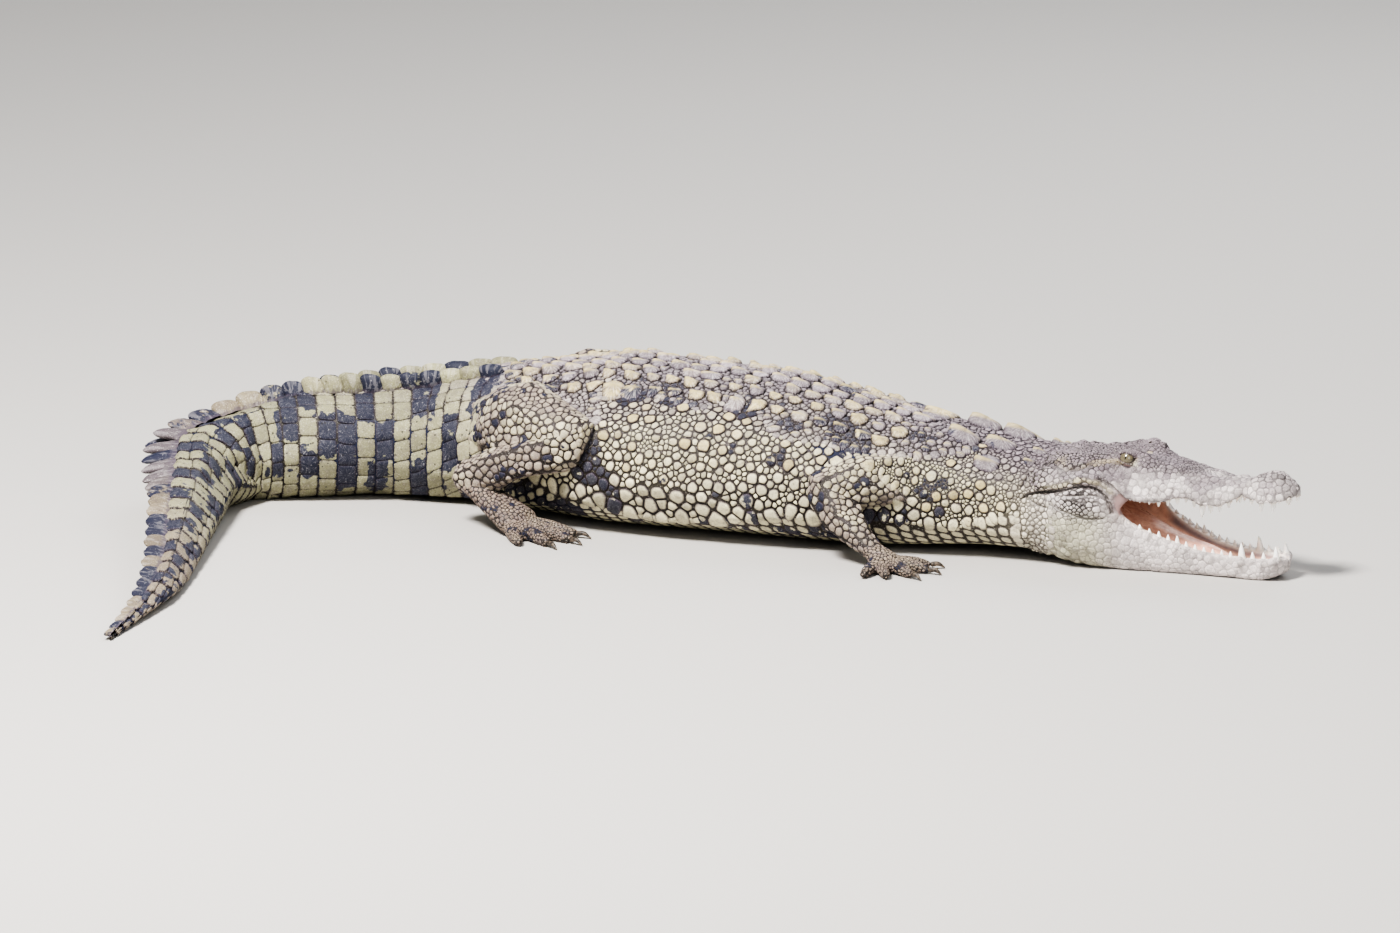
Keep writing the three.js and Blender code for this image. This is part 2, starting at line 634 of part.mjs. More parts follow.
// Limbs, each cut back from what it grows from.
const swollenBody = [
  bodyLength(GAP / 2, SHOULDER + GAP, 8, CUT),
  bodyLength(SHOULDER, VENT - 60, 12, CUT),
  bodyLength(VENT - 60 - GAP, VENT + 430, 6, CUT),
];
for (const [side, hand] of [[-1, "right"], [1, "left"]]) {
  const hind = hindLeg(side);
  const thigh = without(hind.thigh(0), ...swollenBody);
  add(`thigh_${hand}`, thigh, HIDE);
  const shank = without(hind.shank(0), ...swollenBody, hind.thigh(CUT));
  add(`shank_${hand}`, shank, HIDE);
  const hindRoot = shifted(HIND.root, side, 1);
  const hindPlan = digits(HIND_TOES, hindRoot, HIND.heading, 46, side);
  const hindFoot = footSolid(hindPlan, hind.ankle, hindRoot, 26, 0.72);
  add(`hind_foot_${hand}`, without(hindFoot, ...swollenBody, hind.shank(CUT), hind.thigh(CUT)), HIDE);

  const fore = foreLeg(side);
  add(`upper_arm_${hand}`, without(fore.upperArm(0), ...swollenBody), HIDE);
  add(`forearm_${hand}`, without(fore.forearm(0), ...swollenBody, fore.upperArm(CUT)), HIDE);
  const foreRoot = shifted(FORE.root, side, 1);
  const forePlan = digits(FORE_TOES, foreRoot, FORE.heading, 40, side);
  const foreFoot = footSolid(forePlan, fore.wrist, foreRoot, 19, 0);
  add(`fore_foot_${hand}`, without(foreFoot, ...swollenBody, fore.forearm(CUT)), HIDE);

  // The three inner digits of each foot have claws.
  for (const [foot, plan, length] of [["hind", hindPlan, 27], ["fore", forePlan, 23]])
    plan.slice(0, 3).forEach((digit, i) =>
      add(`${foot}_claw_${hand}_${i + 1}`, clawSolid(digit, length), CLAW),
    );
}

// The origin goes to the middle of the animal's box, on the floor.
crocodile.updateMatrixWorld(true);
const box = new THREE.Box3().setFromObject(crocodile);
const middle = box.getCenter(new THREE.Vector3());
crocodile.position.set(-middle.x, -middle.y, 0);

export default crocodile;
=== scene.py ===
"""A life-size Nile crocodile lying on a plain floor with its jaws apart: hide, scales, teeth and eyes."""
import math

import bmesh
import bpy
import numpy as np
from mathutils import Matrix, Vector
from mathutils.bvhtree import BVHTree
from mathutils.kdtree import KDTree


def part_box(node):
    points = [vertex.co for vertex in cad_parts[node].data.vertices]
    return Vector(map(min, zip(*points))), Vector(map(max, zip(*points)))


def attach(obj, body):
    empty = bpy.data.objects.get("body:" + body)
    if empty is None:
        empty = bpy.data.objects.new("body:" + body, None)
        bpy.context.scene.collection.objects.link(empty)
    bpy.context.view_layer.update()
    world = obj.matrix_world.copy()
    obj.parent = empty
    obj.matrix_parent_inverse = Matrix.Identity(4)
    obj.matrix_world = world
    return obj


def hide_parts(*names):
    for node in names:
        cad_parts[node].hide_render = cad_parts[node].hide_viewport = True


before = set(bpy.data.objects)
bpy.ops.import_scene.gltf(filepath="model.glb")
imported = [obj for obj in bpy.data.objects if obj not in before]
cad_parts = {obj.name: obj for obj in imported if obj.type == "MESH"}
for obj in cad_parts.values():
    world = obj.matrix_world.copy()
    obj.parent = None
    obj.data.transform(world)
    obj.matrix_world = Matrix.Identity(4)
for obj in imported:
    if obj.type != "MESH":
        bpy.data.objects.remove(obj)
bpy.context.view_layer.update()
bpy.ops.object.select_all(action="DESELECT")


# ---- The camera, the floor and the light ----
# The animal lies on a seamless pale studio floor and is seen from its right side, a little from in
# front of square, through a long lens from far off. Big soft lamps hang over it.
VIEW_AZIMUTH = math.radians(24.0)
VIEW_ELEVATION = math.radians(12.6)
VIEW_DISTANCE = 33.0
VIEW_TARGET = Vector((-0.209, 0.714, 0.066))
to_camera = Vector((
    math.sin(VIEW_AZIMUTH) * math.cos(VIEW_ELEVATION),
    -math.cos(VIEW_AZIMUTH) * math.cos(VIEW_ELEVATION),
    math.sin(VIEW_ELEVATION),
))
bpy.ops.object.camera_add(location=VIEW_TARGET + to_camera * VIEW_DISTANCE)
camera = bpy.context.object
camera.rotation_euler = to_camera.to_track_quat("Z", "Y").to_euler()
camera.data.lens = 404.1
camera.data.sensor_width = 36.0
camera.data.clip_end = 400.0
bpy.context.scene.camera = camera


def new_material(name, roughness=0.6, specular=0.4):
    material = bpy.data.materials.new(name)
    material.use_nodes = True
    shader = material.node_tree.nodes["Principled BSDF"]
    shader.inputs["Roughness"].default_value = roughness
    shader.inputs["Specular IOR Level"].default_value = specular
    return material, material.node_tree, shader


bpy.ops.mesh.primitive_plane_add(size=120)
bpy.context.scene.view_settings.look = "AgX - High Contrast"
floor = bpy.context.object
floor.name = "studio_floor"
floor_paint, _, shader = new_material("floor_paint", 0.9, 0.2)
shader.inputs["Base Color"].default_value = (0.50, 0.485, 0.465, 1)
floor.data.materials.append(floor_paint)

world = bpy.data.worlds.new("studio")
bpy.context.scene.world = world
world.use_nodes = True
world.node_tree.nodes["Background"].inputs["Color"].default_value = (0.93, 0.96, 1.0, 1)
world.node_tree.nodes["Background"].inputs["Strength"].default_value = 0.32
for place, size, watts, tint in [
    ((-1.2, -3.4, 6.2), 1.8, 1080, (1.0, 0.97, 0.94)),
    ((4.6, -4.6, 3.2), 4.0, 110, (1.0, 0.98, 0.96)),
    ((0.5, 5.5, 4.5), 4.0, 170, (0.95, 0.97, 1.0)),
]:
    bpy.ops.object.light_add(type="AREA", location=place)
    lamp = bpy.context.object
    lamp.data.size = size
    lamp.data.energy = watts
    lamp.data.color = tint
    lamp.rotation_euler = (Vector(place) - Vector((0, 0.2, 0.1))).to_track_quat("Z", "Y").to_euler()


# ---- The hide ----
# One skin runs from the snout to the tail tip, over the trunk, the limbs and into the mouth. It is
# drawn as tubes strung on the animal's own lines, melted together, and lies just inside the solids,
# so that the scales can stand on it. Lengths along the animal are in millimetres until they are placed.
MM = 0.001
HEAD_BACK, SNOUT_TIP, JAW_TIP, MOUTH_CORNER = 720.0, 1232.0, 1212.0, 865.0
VENT, TAIL = 1340.0, 1938.0
HEAD_TURN, NECK = -5.0, 420.0
TRUNK_FRONT = 400.15


def smooth(x):
    t = np.clip(x, 0, 1)
    return t * t * (3 - 2 * t)


def profile(*stations):
    """A smooth curve through stations (position, value) that never overshoots them."""
    x, y = np.array(stations, float).T
    rise = np.diff(y) / np.diff(x)
    slope = np.concatenate([rise[:1], np.zeros(len(x) - 2), rise[-1:]])
    a, b = rise[:-1], rise[1:]
    turning = a * b <= 0
    slope[1:-1] = np.where(turning, 0, 2 * a * b / np.where(turning, 1, a + b))

    def value(at):
        at = np.clip(at, x[0], x[-1])
        i = np.clip(np.searchsorted(x, at, side="right") - 1, 0, len(x) - 2)
        h = x[i + 1] - x[i]
        t = (at - x[i]) / h
        return (
            (2 * t**3 - 3 * t**2 + 1) * y[i] + (t**3 - 2 * t**2 + t) * h * slope[i]
            + (3 * t**2 - 2 * t**3) * y[i + 1] + (t**3 - t**2) * h * slope[i + 1]
        )

    return value


def heading(s):
    t = s - VENT
    neck = HEAD_TURN * (1 - smooth(s / NECK))
    tail = 30 * smooth((t + 120) / 420) + 81 * smooth((t - 412) / 330) - 14 * smooth((t - 1250) / 600)
    return math.pi + np.radians(neck + tail)


def lean(s):
    return np.radians(46 * smooth((s - VENT - 220) / 360) + 6 * smooth((s - VENT - 900) / 500))


STEP = 4.0
line_s = np.arange(0, VENT + TAIL + STEP, STEP)
turns = heading(line_s[:-1] + STEP / 2)
line_x = HEAD_BACK + np.concatenate([[0], np.cumsum(np.cos(turns) * STEP)])
line_y = np.concatenate([[0], np.cumsum(np.sin(turns) * STEP)])
line_y = line_y - np.interp(VENT / 2, line_s, line_y)
trunk_low, trunk_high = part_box("trunk")
TO_FRAME = np.array([
    trunk_high.x - np.interp(TRUNK_FRONT, line_s, line_x) * MM,
    (trunk_low.y + trunk_high.y) / 2,
    0.0,
])


def spine(s):
    """The place, and the directions back, outwards and up, at a distance along the spine."""
    place = np.stack([np.interp(s, line_s, line_x), np.interp(s, line_s, line_y), np.zeros_like(s)], -1)
    angle, a = heading(s), lean(s)
    zero = np.zeros_like(s)
    level = np.stack([np.sin(angle), -np.cos(angle), zero], -1)
    upright = np.stack([zero, zero, zero + 1], -1)
    out = level * np.cos(a)[..., None] - upright * np.sin(a)[..., None]
    up = level * np.sin(a)[..., None] + upright * np.cos(a)[..., None]
    return place, out, up


half_width = profile(
    (0, 146), (120, 158), (260, 188), (400, 226), (620, 268), (860, 286), (1060, 268), (1220, 214),
    (VENT, 168), (1500, 136), (1700, 106), (1930, 76), (2200, 50), (2640, 30), (3000, 16), (3278, 5),
)
body_top = profile(
    (0, 224), (160, 234), (252, 247), (390, 270), (551, 302), (712, 322), (987, 330), (1150, 312),
    (VENT, 278), (1500, 248), (1700, 226), (1930, 192), (2200, 144), (2640, 88), (3000, 44), (3278, 9),
)
underside = profile((0, 16), (140, 12), (300, 2), (420, -5), (1250, -5), (1500, -3), (3278, -1.5))
widest = profile((0, 0.44), (400, 0.38), (900, 0.35), (VENT, 0.42), (1700, 0.5))
square_below = profile((0, 3.1), (160, 2.8), (500, 2.7), (1200, 2.6), (1700, 2.2))
square_above = profile((0, 2.3), (700, 2.1), (1300, 2.05), (1700, 2.1))


def body_point(s, angle, sunk=0.0):
    """A point of the body's ring at s. The angle is 0 on the animal's left and 90 degrees on the back."""
    s, angle = np.broadcast_arrays(np.asarray(s, float), np.asarray(angle, float))
    place, out, up = spine(s)
    c, n, wide = np.cos(angle), np.sin(angle), widest(s)
    power = 2 / np.where(n < 0, square_below(s), square_above(s))
    height = body_top(s) - underside(s)
    shrink = np.minimum(sunk, half_width(s) * 0.45)
    reach = np.where(n < 0, wide, 1 - wide) * height - np.minimum(shrink, height * 0.3)
    across = np.sign(c) * np.abs(c) ** power * (half_width(s) - shrink)
    above = np.sign(n) * np.abs(n) ** power * reach
    a = lean(s)
    middle = underside(s) + np.hypot(wide * height * np.cos(a), half_width(s) * np.sin(a))
    p = place + out * across[..., None] + up * above[..., None]
    p[..., 2] = np.maximum(0, p[..., 2] + middle)
    return p


# The head is built straight ahead of HEAD_BACK and turned to meet the neck.
lip_width = profile(
    (HEAD_BACK, 146), (770, 148), (823, 138), (893, 108), (972, 82), (1009, 73), (1055, 73), (1100, 63),
    (1126, 46), (1166, 54), (1200, 47), (1221, 30), (SNOUT_TIP, 14),
)
lip_height = profile(
    (HEAD_BACK, 168), (768, 186), (823, 200), (862, 184), (893, 156), (946, 151), (1009, 163), (1055, 153),
    (1085, 155), (1126, 173), (1176, 166), (1214, 171), (SNOUT_TIP, 178),
)
top_height = profile(
    (HEAD_BACK, 224), (787, 227), (860, 232), (905, 230), (963, 222), (1019, 212), (1070, 204),
    (1111, 203), (1150, 216), (1185, 220), (1214, 212), (SNOUT_TIP, 196),
)
brow_width = profile(
    (HEAD_BACK, 66), (800, 62), (868, 57), (920, 46), (1000, 40), (1100, 34), (1157, 28), (1214, 18),
    (SNOUT_TIP, 8),
)
brow_height = profile(
    (HEAD_BACK, 222), (800, 230), (845, 240), (880, 243), (920, 228), (963, 216), (1021, 205), (1070, 197),
    (1111, 197), (1150, 212), (1185, 217), (1214, 208), (SNOUT_TIP, 193),
)
cheek_width = profile(
    (HEAD_BACK, 140), (800, 126), (868, 82), (920, 80), (972, 74), (1009, 69), (1055, 69), (1100, 58),
    (1126, 42), (1166, 50), (1200, 43), (1221, 27), (SNOUT_TIP, 13),
)
cheek_height = profile(
    (HEAD_BACK, 192), (800, 202), (868, 204), (920, 194), (1000, 184), (1055, 181), (1111, 183), (1175, 192),
    (SNOUT_TIP, 186),
)
jaw_width = profile(
    (HEAD_BACK, 142), (760, 150), (800, 142), (865, 113), (918, 92), (969, 77), (1043, 64), (1100, 56),
    (1140, 50), (1180, 42), (1200, 28), (JAW_TIP, 8),
)
gum_height = profile(
    (HEAD_BACK, 182), (768, 192), (823, 202), (848, 190), (862, 150), (876, 116), (918, 88), (969, 69),
    (1043, 50), (1100, 45), (1160, 45), (1200, 48), (JAW_TIP, 42),
)
jaw_underside = profile(
    (HEAD_BACK, 14), (790, 2), (860, -4), (1130, -4), (1172, 2), (1198, 11), (JAW_TIP, 27),
)
mouth_floor = profile((770, 130), (830, 92), (900, 66), (1000, 38), (1110, 24), (1185, 26))
GUM = 20.0


def curve_points(stations, count):
    """Points along a centripetal curve through stations, evenly spread over its pieces."""
    p = np.array(stations, float)
    p = np.vstack([2 * p[0] - p[1], p, 2 * p[-1] - p[-2]])
    u = np.linspace(0, len(stations) - 1, count)
    i = np.minimum(u.astype(int), len(stations) - 2)
    t = (u - i)[:, None]
    p0, p1, p2, p3 = p[i], p[i + 1], p[i + 2], p[i + 3]
    gap = [np.maximum(np.linalg.norm(b - a, axis=1), 1e-6)[:, None] ** 0.5
           for a, b in ((p0, p1), (p1, p2), (p2, p3))]
    m1 = ((p1 - p0) / gap[0] - (p2 - p0) / (gap[0] + gap[1]) + (p2 - p1) / gap[1]) * gap[1]
    m2 = ((p2 - p1) / gap[1] - (p3 - p1) / (gap[1] + gap[2]) + (p3 - p2) / gap[2]) * gap[1]
    return (
        (2 * t**3 - 3 * t**2 + 1) * p1 + (t**3 - 2 * t**2 + t) * m1
        + (3 * t**2 - 2 * t**3) * p2 + (t**3 - t**2) * m2
    )


def upper_ring(x, inset=0.0):
    """The skull and upper jaw's section at x: up one side, down the other, and back over the palate."""
    side = curve_points([
        (lip_width(x) - inset, lip_height(x) + inset),
        (cheek_width(x) - inset, cheek_height(x)),
        (brow_width(x) - inset, brow_height(x) - inset),
        (0, top_height(x) - inset),
    ], 16)
    ring = np.vstack([side, side[-2::-1] * (-1, 1)])
    gum = min(12, lip_width(x) * 0.4)
    vault = lip_height(x) + (10 * smooth((SNOUT_TIP - x) / 60) if x > MOUTH_CORNER else 0)
    inside = max(1, lip_width(x) - gum)
    palate = [(w * inside, min(vault, top_height(x) - 4) if abs(w) < 0.8 else lip_height(x) + inset)
              for w in (-0.98, -0.7, -0.35, 0, 0.35, 0.7, 0.98)]
    section = np.vstack([ring, palate])
    return np.column_stack([np.full(len(section), x), section])


def inner_jaw(x):
    """Half the width between the lower jaw's inner faces."""
    return jaw_width(x) * 0.95 - GUM


def jaw_ring(x):
    """The lower jaw's section at x, with the hollow between its two sides where there is one."""
    w, top, low = jaw_width(x) - 0.5, gum_height(x) - 0.5, jaw_underside(x)
    tall = top - low
    half = [(0, low), (0.45, low), (0.78, low + 0.05 * tall), (0.95, low + 0.24 * tall),
            (1, low + 0.55 * tall), (0.985, low + 0.85 * tall), (0.94, top)]
    outer = curve_points([(y * w, max(0.6, z)) for y, z in half], 19)
    hollow = smooth((x - 774) / 24) * smooth((1190 - x) / 14)
    depth = top - min(top, top + (mouth_floor(x) - top) * hollow)
    inside = max(2.0, inner_jaw(x))
    inner = [(inside + 3, top - 1), (inside, top - depth * 0.3), (inside * 0.97, top - depth * 0.75),
             (inside * 0.85, top - depth * 0.95), (inside * 0.45, top - depth), (0, top - depth)]
    section = np.vstack([outer, inner])
    other = section[-2:0:-1] * (-1, 1)
    section = np.vstack([section, other])
    # Behind the head the section shrinks into the neck, so that no step shows.
    fade = smooth((HEAD_BACK - x) / 150)
    section = section * (1 - 0.22 * fade, 1) + (0, 1) * ((105 - section[:, 1:]) * 0.2 * fade)
    return np.column_stack([np.full(len(section), x), section])


NECK_AT = spine(np.zeros(1))[0][0]


def swing(x, y, z, degrees, centre):
    a = math.radians(degrees)
    return np.stack([centre[0] + x * math.cos(a) - y * math.sin(a),
                     centre[1] + x * math.sin(a) + y * math.cos(a), z], -1)


def turn_head(p):
    """Turns points of the head about the neck's cut, and moves them to meet the neck."""
    p = np.asarray(p, float)
    return swing(p[..., 0] - HEAD_BACK, p[..., 1], p[..., 2], HEAD_TURN, NECK_AT)


def straighten_head(p):
    """The way back from turn_head."""
    return swing(p[..., 0] - NECK_AT[0], p[..., 1] - NECK_AT[1], p[..., 2], -HEAD_TURN, (HEAD_BACK, 0))


# A limb is a tapering oval rod along a line of joints, with rounded ends.
ROUND_END = 0.62


class Rod:
    """A limb's length: its middle line, radii and the directions across it, by arc length."""

    def __init__(self, points, radii, flat=1.0):
        self.line = curve_points(points, 81)
        gaps = np.linalg.norm(np.diff(self.line, axis=0), axis=1)
        self.arc = np.concatenate([[0], np.cumsum(gaps)])
        self.length = self.arc[-1]
        self.size = profile(*[(i / (len(radii) - 1), r) for i, r in enumerate(radii)])
        self.flat = flat

    def at(self, u):
        u = np.asarray(u, float)
        a = np.clip(u, 0, 1) * self.length
        centre, ahead, behind = (
            np.stack([np.interp(a + step, self.arc, self.line[:, k]) for k in range(3)], -1)
            for step in (0, 3, -3))
        along = ahead - behind
        along /= np.linalg.norm(along, axis=-1)[..., None]
        level = np.stack([-along[..., 1], along[..., 0], 0 * u], -1)
        level /= np.linalg.norm(level, axis=-1)[..., None]
        up = -np.cross(along, level)
        up = up * np.where(up[..., 2:] < 0, -1, 1)
        return centre, along, level, up

    def point(self, u, angle, sunk=0.0):
        """A point of the rod's surface. Past either end it runs over the rounded end."""
        u, angle = np.broadcast_arrays(np.asarray(u, float), np.asarray(angle, float))
        centre, along, level, up = self.at(u)
        past = np.maximum(u - 1, 0) + np.minimum(u, 0)
        radius = (self.size(np.clip(u, 0, 1)) - sunk) * np.sqrt(np.clip(1 - past**2, 0, 1))
        centre = centre + along * (past * self.size(np.clip(u, 0, 1)) * ROUND_END)[..., None]
        p = centre + level * (np.cos(angle) * radius)[..., None]
        p = p + up * (np.sin(angle) * radius * self.flat)[..., None]
        p[..., 2] = np.maximum(0.5, p[..., 2])
        return p


# Each limb's joints from the body to the root of the digits, as on the left side, and the foot's heading.
HIND, HIND_HEADING = [(-520, 120, 170), (-300, 262, 196), (-556, 268, 96), (-416, 316, 26)], -24
FORE, FORE_HEADING = [(372, 150, 150), (248, 252, 142), (372, 300, 44), (424, 326, 17)], -30
MOVED = {1: (-26, 14), -1: (0, 0)}
HIND_TOES = [(-22, 118, 17), (-5, 142, 18), (12, 140, 17), (31, 112, 15)]
FORE_TOES = [(-54, 58, 14), (-26, 78, 15), (0, 84, 15), (26, 74, 13), (56, 56, 12)]
TOE_END = 0.62


def joint(p, side, share):
    dx, dy = MOVED[side]
    return np.array([p[0] + dx * share, (p[1] + dy * share) * side, p[2]], float)


def direction(angle, side):
    a = math.radians(angle)
    return np.array([math.cos(a), -math.sin(a) * side, 0])


def digits(toes, root, angle, spread, side):
    """Where each digit starts, where it points and where it ends."""
    plan = []
    for out, length, radius in toes:
        along = direction(angle - out, side)
        start = root + direction(angle - 90, side) * out / 60 * spread
        tip = start + along * length
        tip[2] = 9
        plan.append((start, along, tip, radius))
    return plan


def limb_rods(side):
    """Every rod of one side's legs, by name, and the plans of its two feet."""
    hip, knee, ankle, hind_root, shoulder, elbow, wrist, fore_root = (
        joint(p, side, share) for p, share in zip(HIND + FORE, (0, 0.5, 1, 1) * 2))
    rods = {
        "thigh": Rod([hip, hip + (knee - hip) * 0.55 + (-14, 8 * side, 16), knee],
                     [92, 96, 84, 62, 52], 1.05),
        "shank": Rod([knee + (-18, -4 * side, -10), (knee + ankle) / 2 + (0, 14 * side, 0), ankle],
                     [52, 52, 46, 37]),
        "upper_arm": Rod([shoulder, (shoulder + elbow) / 2 + (0, 10 * side, 10), elbow],
                         [66, 64, 54, 44]),
        "forearm": Rod([elbow + (8, 0, -8), (elbow + wrist) / 2 + (0, 8 * side, -6), wrist],
                       [42, 42, 34, 27]),
    }
    plans = {}
    for foot, back, root, angle, toes, spread, thick in [
        ("hind", ankle, hind_root, HIND_HEADING, HIND_TOES, 46, 26),
        ("fore", wrist, fore_root, FORE_HEADING, FORE_TOES, 40, 19),
    ]:
        plans[foot] = digits(toes, root, angle, spread, side)
        rods[foot + "_palm"] = Rod([back, back + (root - back) * 0.6, root],
                                   [thick * 1.1, thick * 1.5, thick * 1.9], 0.62)
        for i, (start, along, tip, radius) in enumerate(plans[foot]):
            line = [(*start[:2], thick * 0.8), (*((start + tip) / 2)[:2], radius * 0.95), tip]
            rods[f"{foot}_toe_{i}"] = Rod(np.array(line), [radius * 1.05, radius, radius * TOE_END], 0.92)
    return rods, plans


limbs = {side: limb_rods(side) for side in (-1, 1)}


def loft(rings):
    """A closed tube over rings of points, with flat ends: points and faces."""
    rings = np.asarray(rings)
    m, n, _ = rings.shape
    index = np.arange(m * n).reshape(m, n)
    a, b = index[:-1], np.roll(index[:-1], -1, 1)
    c, d = np.roll(index[1:], -1, 1), index[1:]
    quads = np.stack([a, b, c, d], -1).reshape(-1, 4)
    ends = [list(index[0][::-1]), list(index[-1])]
    return rings.reshape(-1, 3), quads.tolist() + ends


COAT = 4.0  # how deep the hide lies under the scales' tops
DEEPER_BACK = 4.0  # how much deeper it lies under the big plates of the back
around = np.linspace(0, 2 * math.pi, 73)[:-1]
shells = []
body_s = np.arange(-16, VENT + TAIL - 2, 8.0)
s_rings, a_rings = np.meshgrid(np.maximum(body_s, 0.0), around, indexing="ij")
sunk = COAT + DEEPER_BACK * smooth((np.sin(a_rings) - 0.55) / 0.3)
body_rings = body_point(s_rings, a_rings, sunk)
body_rings[:2, :, 0] += np.array([16, 8])[:, None]
shells.append(loft(body_rings))
# Between the jaws, at each corner of the mouth, the cheek's skin is stretched to a web.
cheek_webs = []
head_x = np.concatenate([
    [690, 705], np.linspace(HEAD_BACK, 1190, 118), np.linspace(1193, SNOUT_TIP - 0.5, 16)])
shells.append(loft(turn_head([upper_ring(x, 0.8) for x in head_x])))
web_low = profile((836, 104), (862, 106), (869, 118), (878, 140), (890, 152), (904, 160))
web_middle = profile((836, 112), (860, 106), (872, 101), (890, 91), (904, 85))
for side in (-1, 1):
    web = []
    for x in np.linspace(836, 904, 24):
        low, high, y = web_low(x), lip_height(x) + 9, web_middle(x)
        turn = np.arange(20) * math.pi / 10
        web.append(np.column_stack([np.full(20, x), side * (y + 5.0 * np.cos(turn)),
                                    (low + high) / 2 + side * (high - low) / 2 * np.sin(turn)]))
    cheek_webs.append(loft(turn_head(web)))
jaw_x = np.concatenate([
    [585, 620, 655, 680, 700], np.linspace(HEAD_BACK, 1180, 115), np.linspace(1183, JAW_TIP - 0.5, 14)])
shells.append(loft(turn_head([jaw_ring(x) for x in jaw_x])))
ROD_AROUND = np.linspace(0, 2 * math.pi, 33)[:-1]
ROD_ALONG = np.concatenate([[-0.97, -0.8, -0.5, -0.2], np.linspace(0, 1, 25), [1.2, 1.5, 1.8, 1.97]])
for side in (-1, 1):
    rods, plans = limbs[side]
    for name, rod in rods.items():
        inset = 0.6 if "toe" in name or "palm" in name else 3.0
        shells.append(loft(rod.point(*np.meshgrid(ROD_ALONG, ROD_AROUND, indexing="ij"), inset)))
    # A web joins the digits of the hind foot.
    edge = []
    plan = plans["hind"]
    root = sum(start for start, *_ in plan) / len(plan)
    for i, (start, along, tip, radius) in enumerate(plan):
        edge.append(start + (tip - start) * 0.72)
        if i + 1 < len(plan):
            after = plan[i + 1]
            notch = (edge[-1] + after[0] + (after[2] - after[0]) * 0.72) / 2
            edge.append(notch + (root - notch) * 0.18)
    outline = np.array(edge + [start for start, *_ in plan][::-1])
    shells.append(loft([np.column_stack([outline[:, :2], np.full(len(outline), z)]) for z in (2.5, 9.5)]))


def mesh_object(name, lofts):
    """One mesh from several lofts."""
    points, faces, first = [], [], 0
    for made, its_faces in lofts:
        points.append(made)
        faces += [[i + first for i in face] for face in its_faces]
        first += len(made)
    mesh = bpy.data.meshes.new(name)
    mesh.from_pydata((np.vstack(points) * MM + TO_FRAME).tolist(), [], faces)
    mesh.update()
    piece = bpy.data.objects.new(name, mesh)
    bpy.context.collection.objects.link(piece)
    return piece


hide = mesh_object("hide", shells + cheek_webs)

# Where a point of the hide belongs: its part, and its place on a flat pattern of that part.
PARTS = ["body", "skull", "jaw"] + [f"{name}_{side}" for side in (-1, 1) for name in limbs[side][0]]
PATTERN = {"body": (0.0, 0.0, 1.0, 0.56), "skull": (0.0, 0.57, 0.3, 0.2), "jaw": (0.0, 0.78, 0.3, 0.2)}
for i, name in enumerate(PARTS[3:]):
    PATTERN[name] = (0.31 + 0.085 * (i % 8), 0.57 + 0.10 * (i // 8), 0.08, 0.09)


def pattern_grid(rows, columns):
    """Even places over a part's flat pattern, in the order of its loft's points."""
    u, v = np.meshgrid((np.arange(rows) + 0.5) / rows, (np.arange(columns) + 0.5) / columns, indexing="ij")
    return np.column_stack([u.ravel(), v.ravel()])


def tree_of(points):
    tree = KDTree(len(points))
    for i, p in enumerate(points):
        tree.insert(p, i)
    tree.balance()
    return tree


known = []
stations_of = [body_s, head_x, jaw_x]
# The webs between the digits, the only small lofts, take their place from the digits beside them.
for part, points in enumerate(points for points, _ in shells if len(points) >= 40):
    stations = stations_of[part] if part < len(stations_of) else ROD_ALONG
    n, around_each = len(points), len(points) // len(stations)
    if part == 0:
        s_all, a_all = s_rings.ravel(), a_rings.ravel()
    elif part < len(stations_of):
        s_all, a_all = HEAD_BACK - np.repeat(stations, around_each), np.zeros(n)
    else:
        s_all, a_all = [g.ravel() for g in np.meshgrid(ROD_ALONG, ROD_AROUND, indexing="ij")]
    known.append((points, pattern_grid(len(stations), around_each), np.full(n, part), s_all, a_all))
known_points, known_place, known_part, known_s, known_angle = (np.concatenate(k) for k in zip(*known))
known_tree = tree_of(known_points)


def whereabouts(points):
    """For points in millimetres: part number, place on its pattern, and distance along and around."""
    i = np.array([known_tree.find(p)[1] for p in points])
    return known_part[i], known_place[i], known_s[i], known_angle[i]


def activate(piece):
    bpy.ops.object.select_all(action="DESELECT")
    piece.select_set(True)
    bpy.context.view_layer.objects.active = piece


def apply_modifier(piece, kind, **settings):
    activate(piece)
    modifier = piece.modifiers.new(kind.lower(), kind)
    for key, value in settings.items():
        setattr(modifier, key, value)
    bpy.ops.object.modifier_apply(modifier=modifier.name)


def shade_smooth(piece):
    piece.data.polygons.foreach_set("use_smooth", np.ones(len(piece.data.polygons), bool))


def points_of(piece):
    co = np.empty(len(piece.data.vertices) * 3)
    piece.data.vertices.foreach_get("co", co)
    return (co.reshape(-1, 3) - TO_FRAME) / MM


def put_points(piece, points):
    piece.data.vertices.foreach_set("co", (points * MM + TO_FRAME).ravel())
    piece.data.update()


def normals_of(piece):
    normals = np.empty(len(piece.data.vertices) * 3)
    piece.data.vertices.foreach_get("normal", normals)
    return normals.reshape(-1, 3)


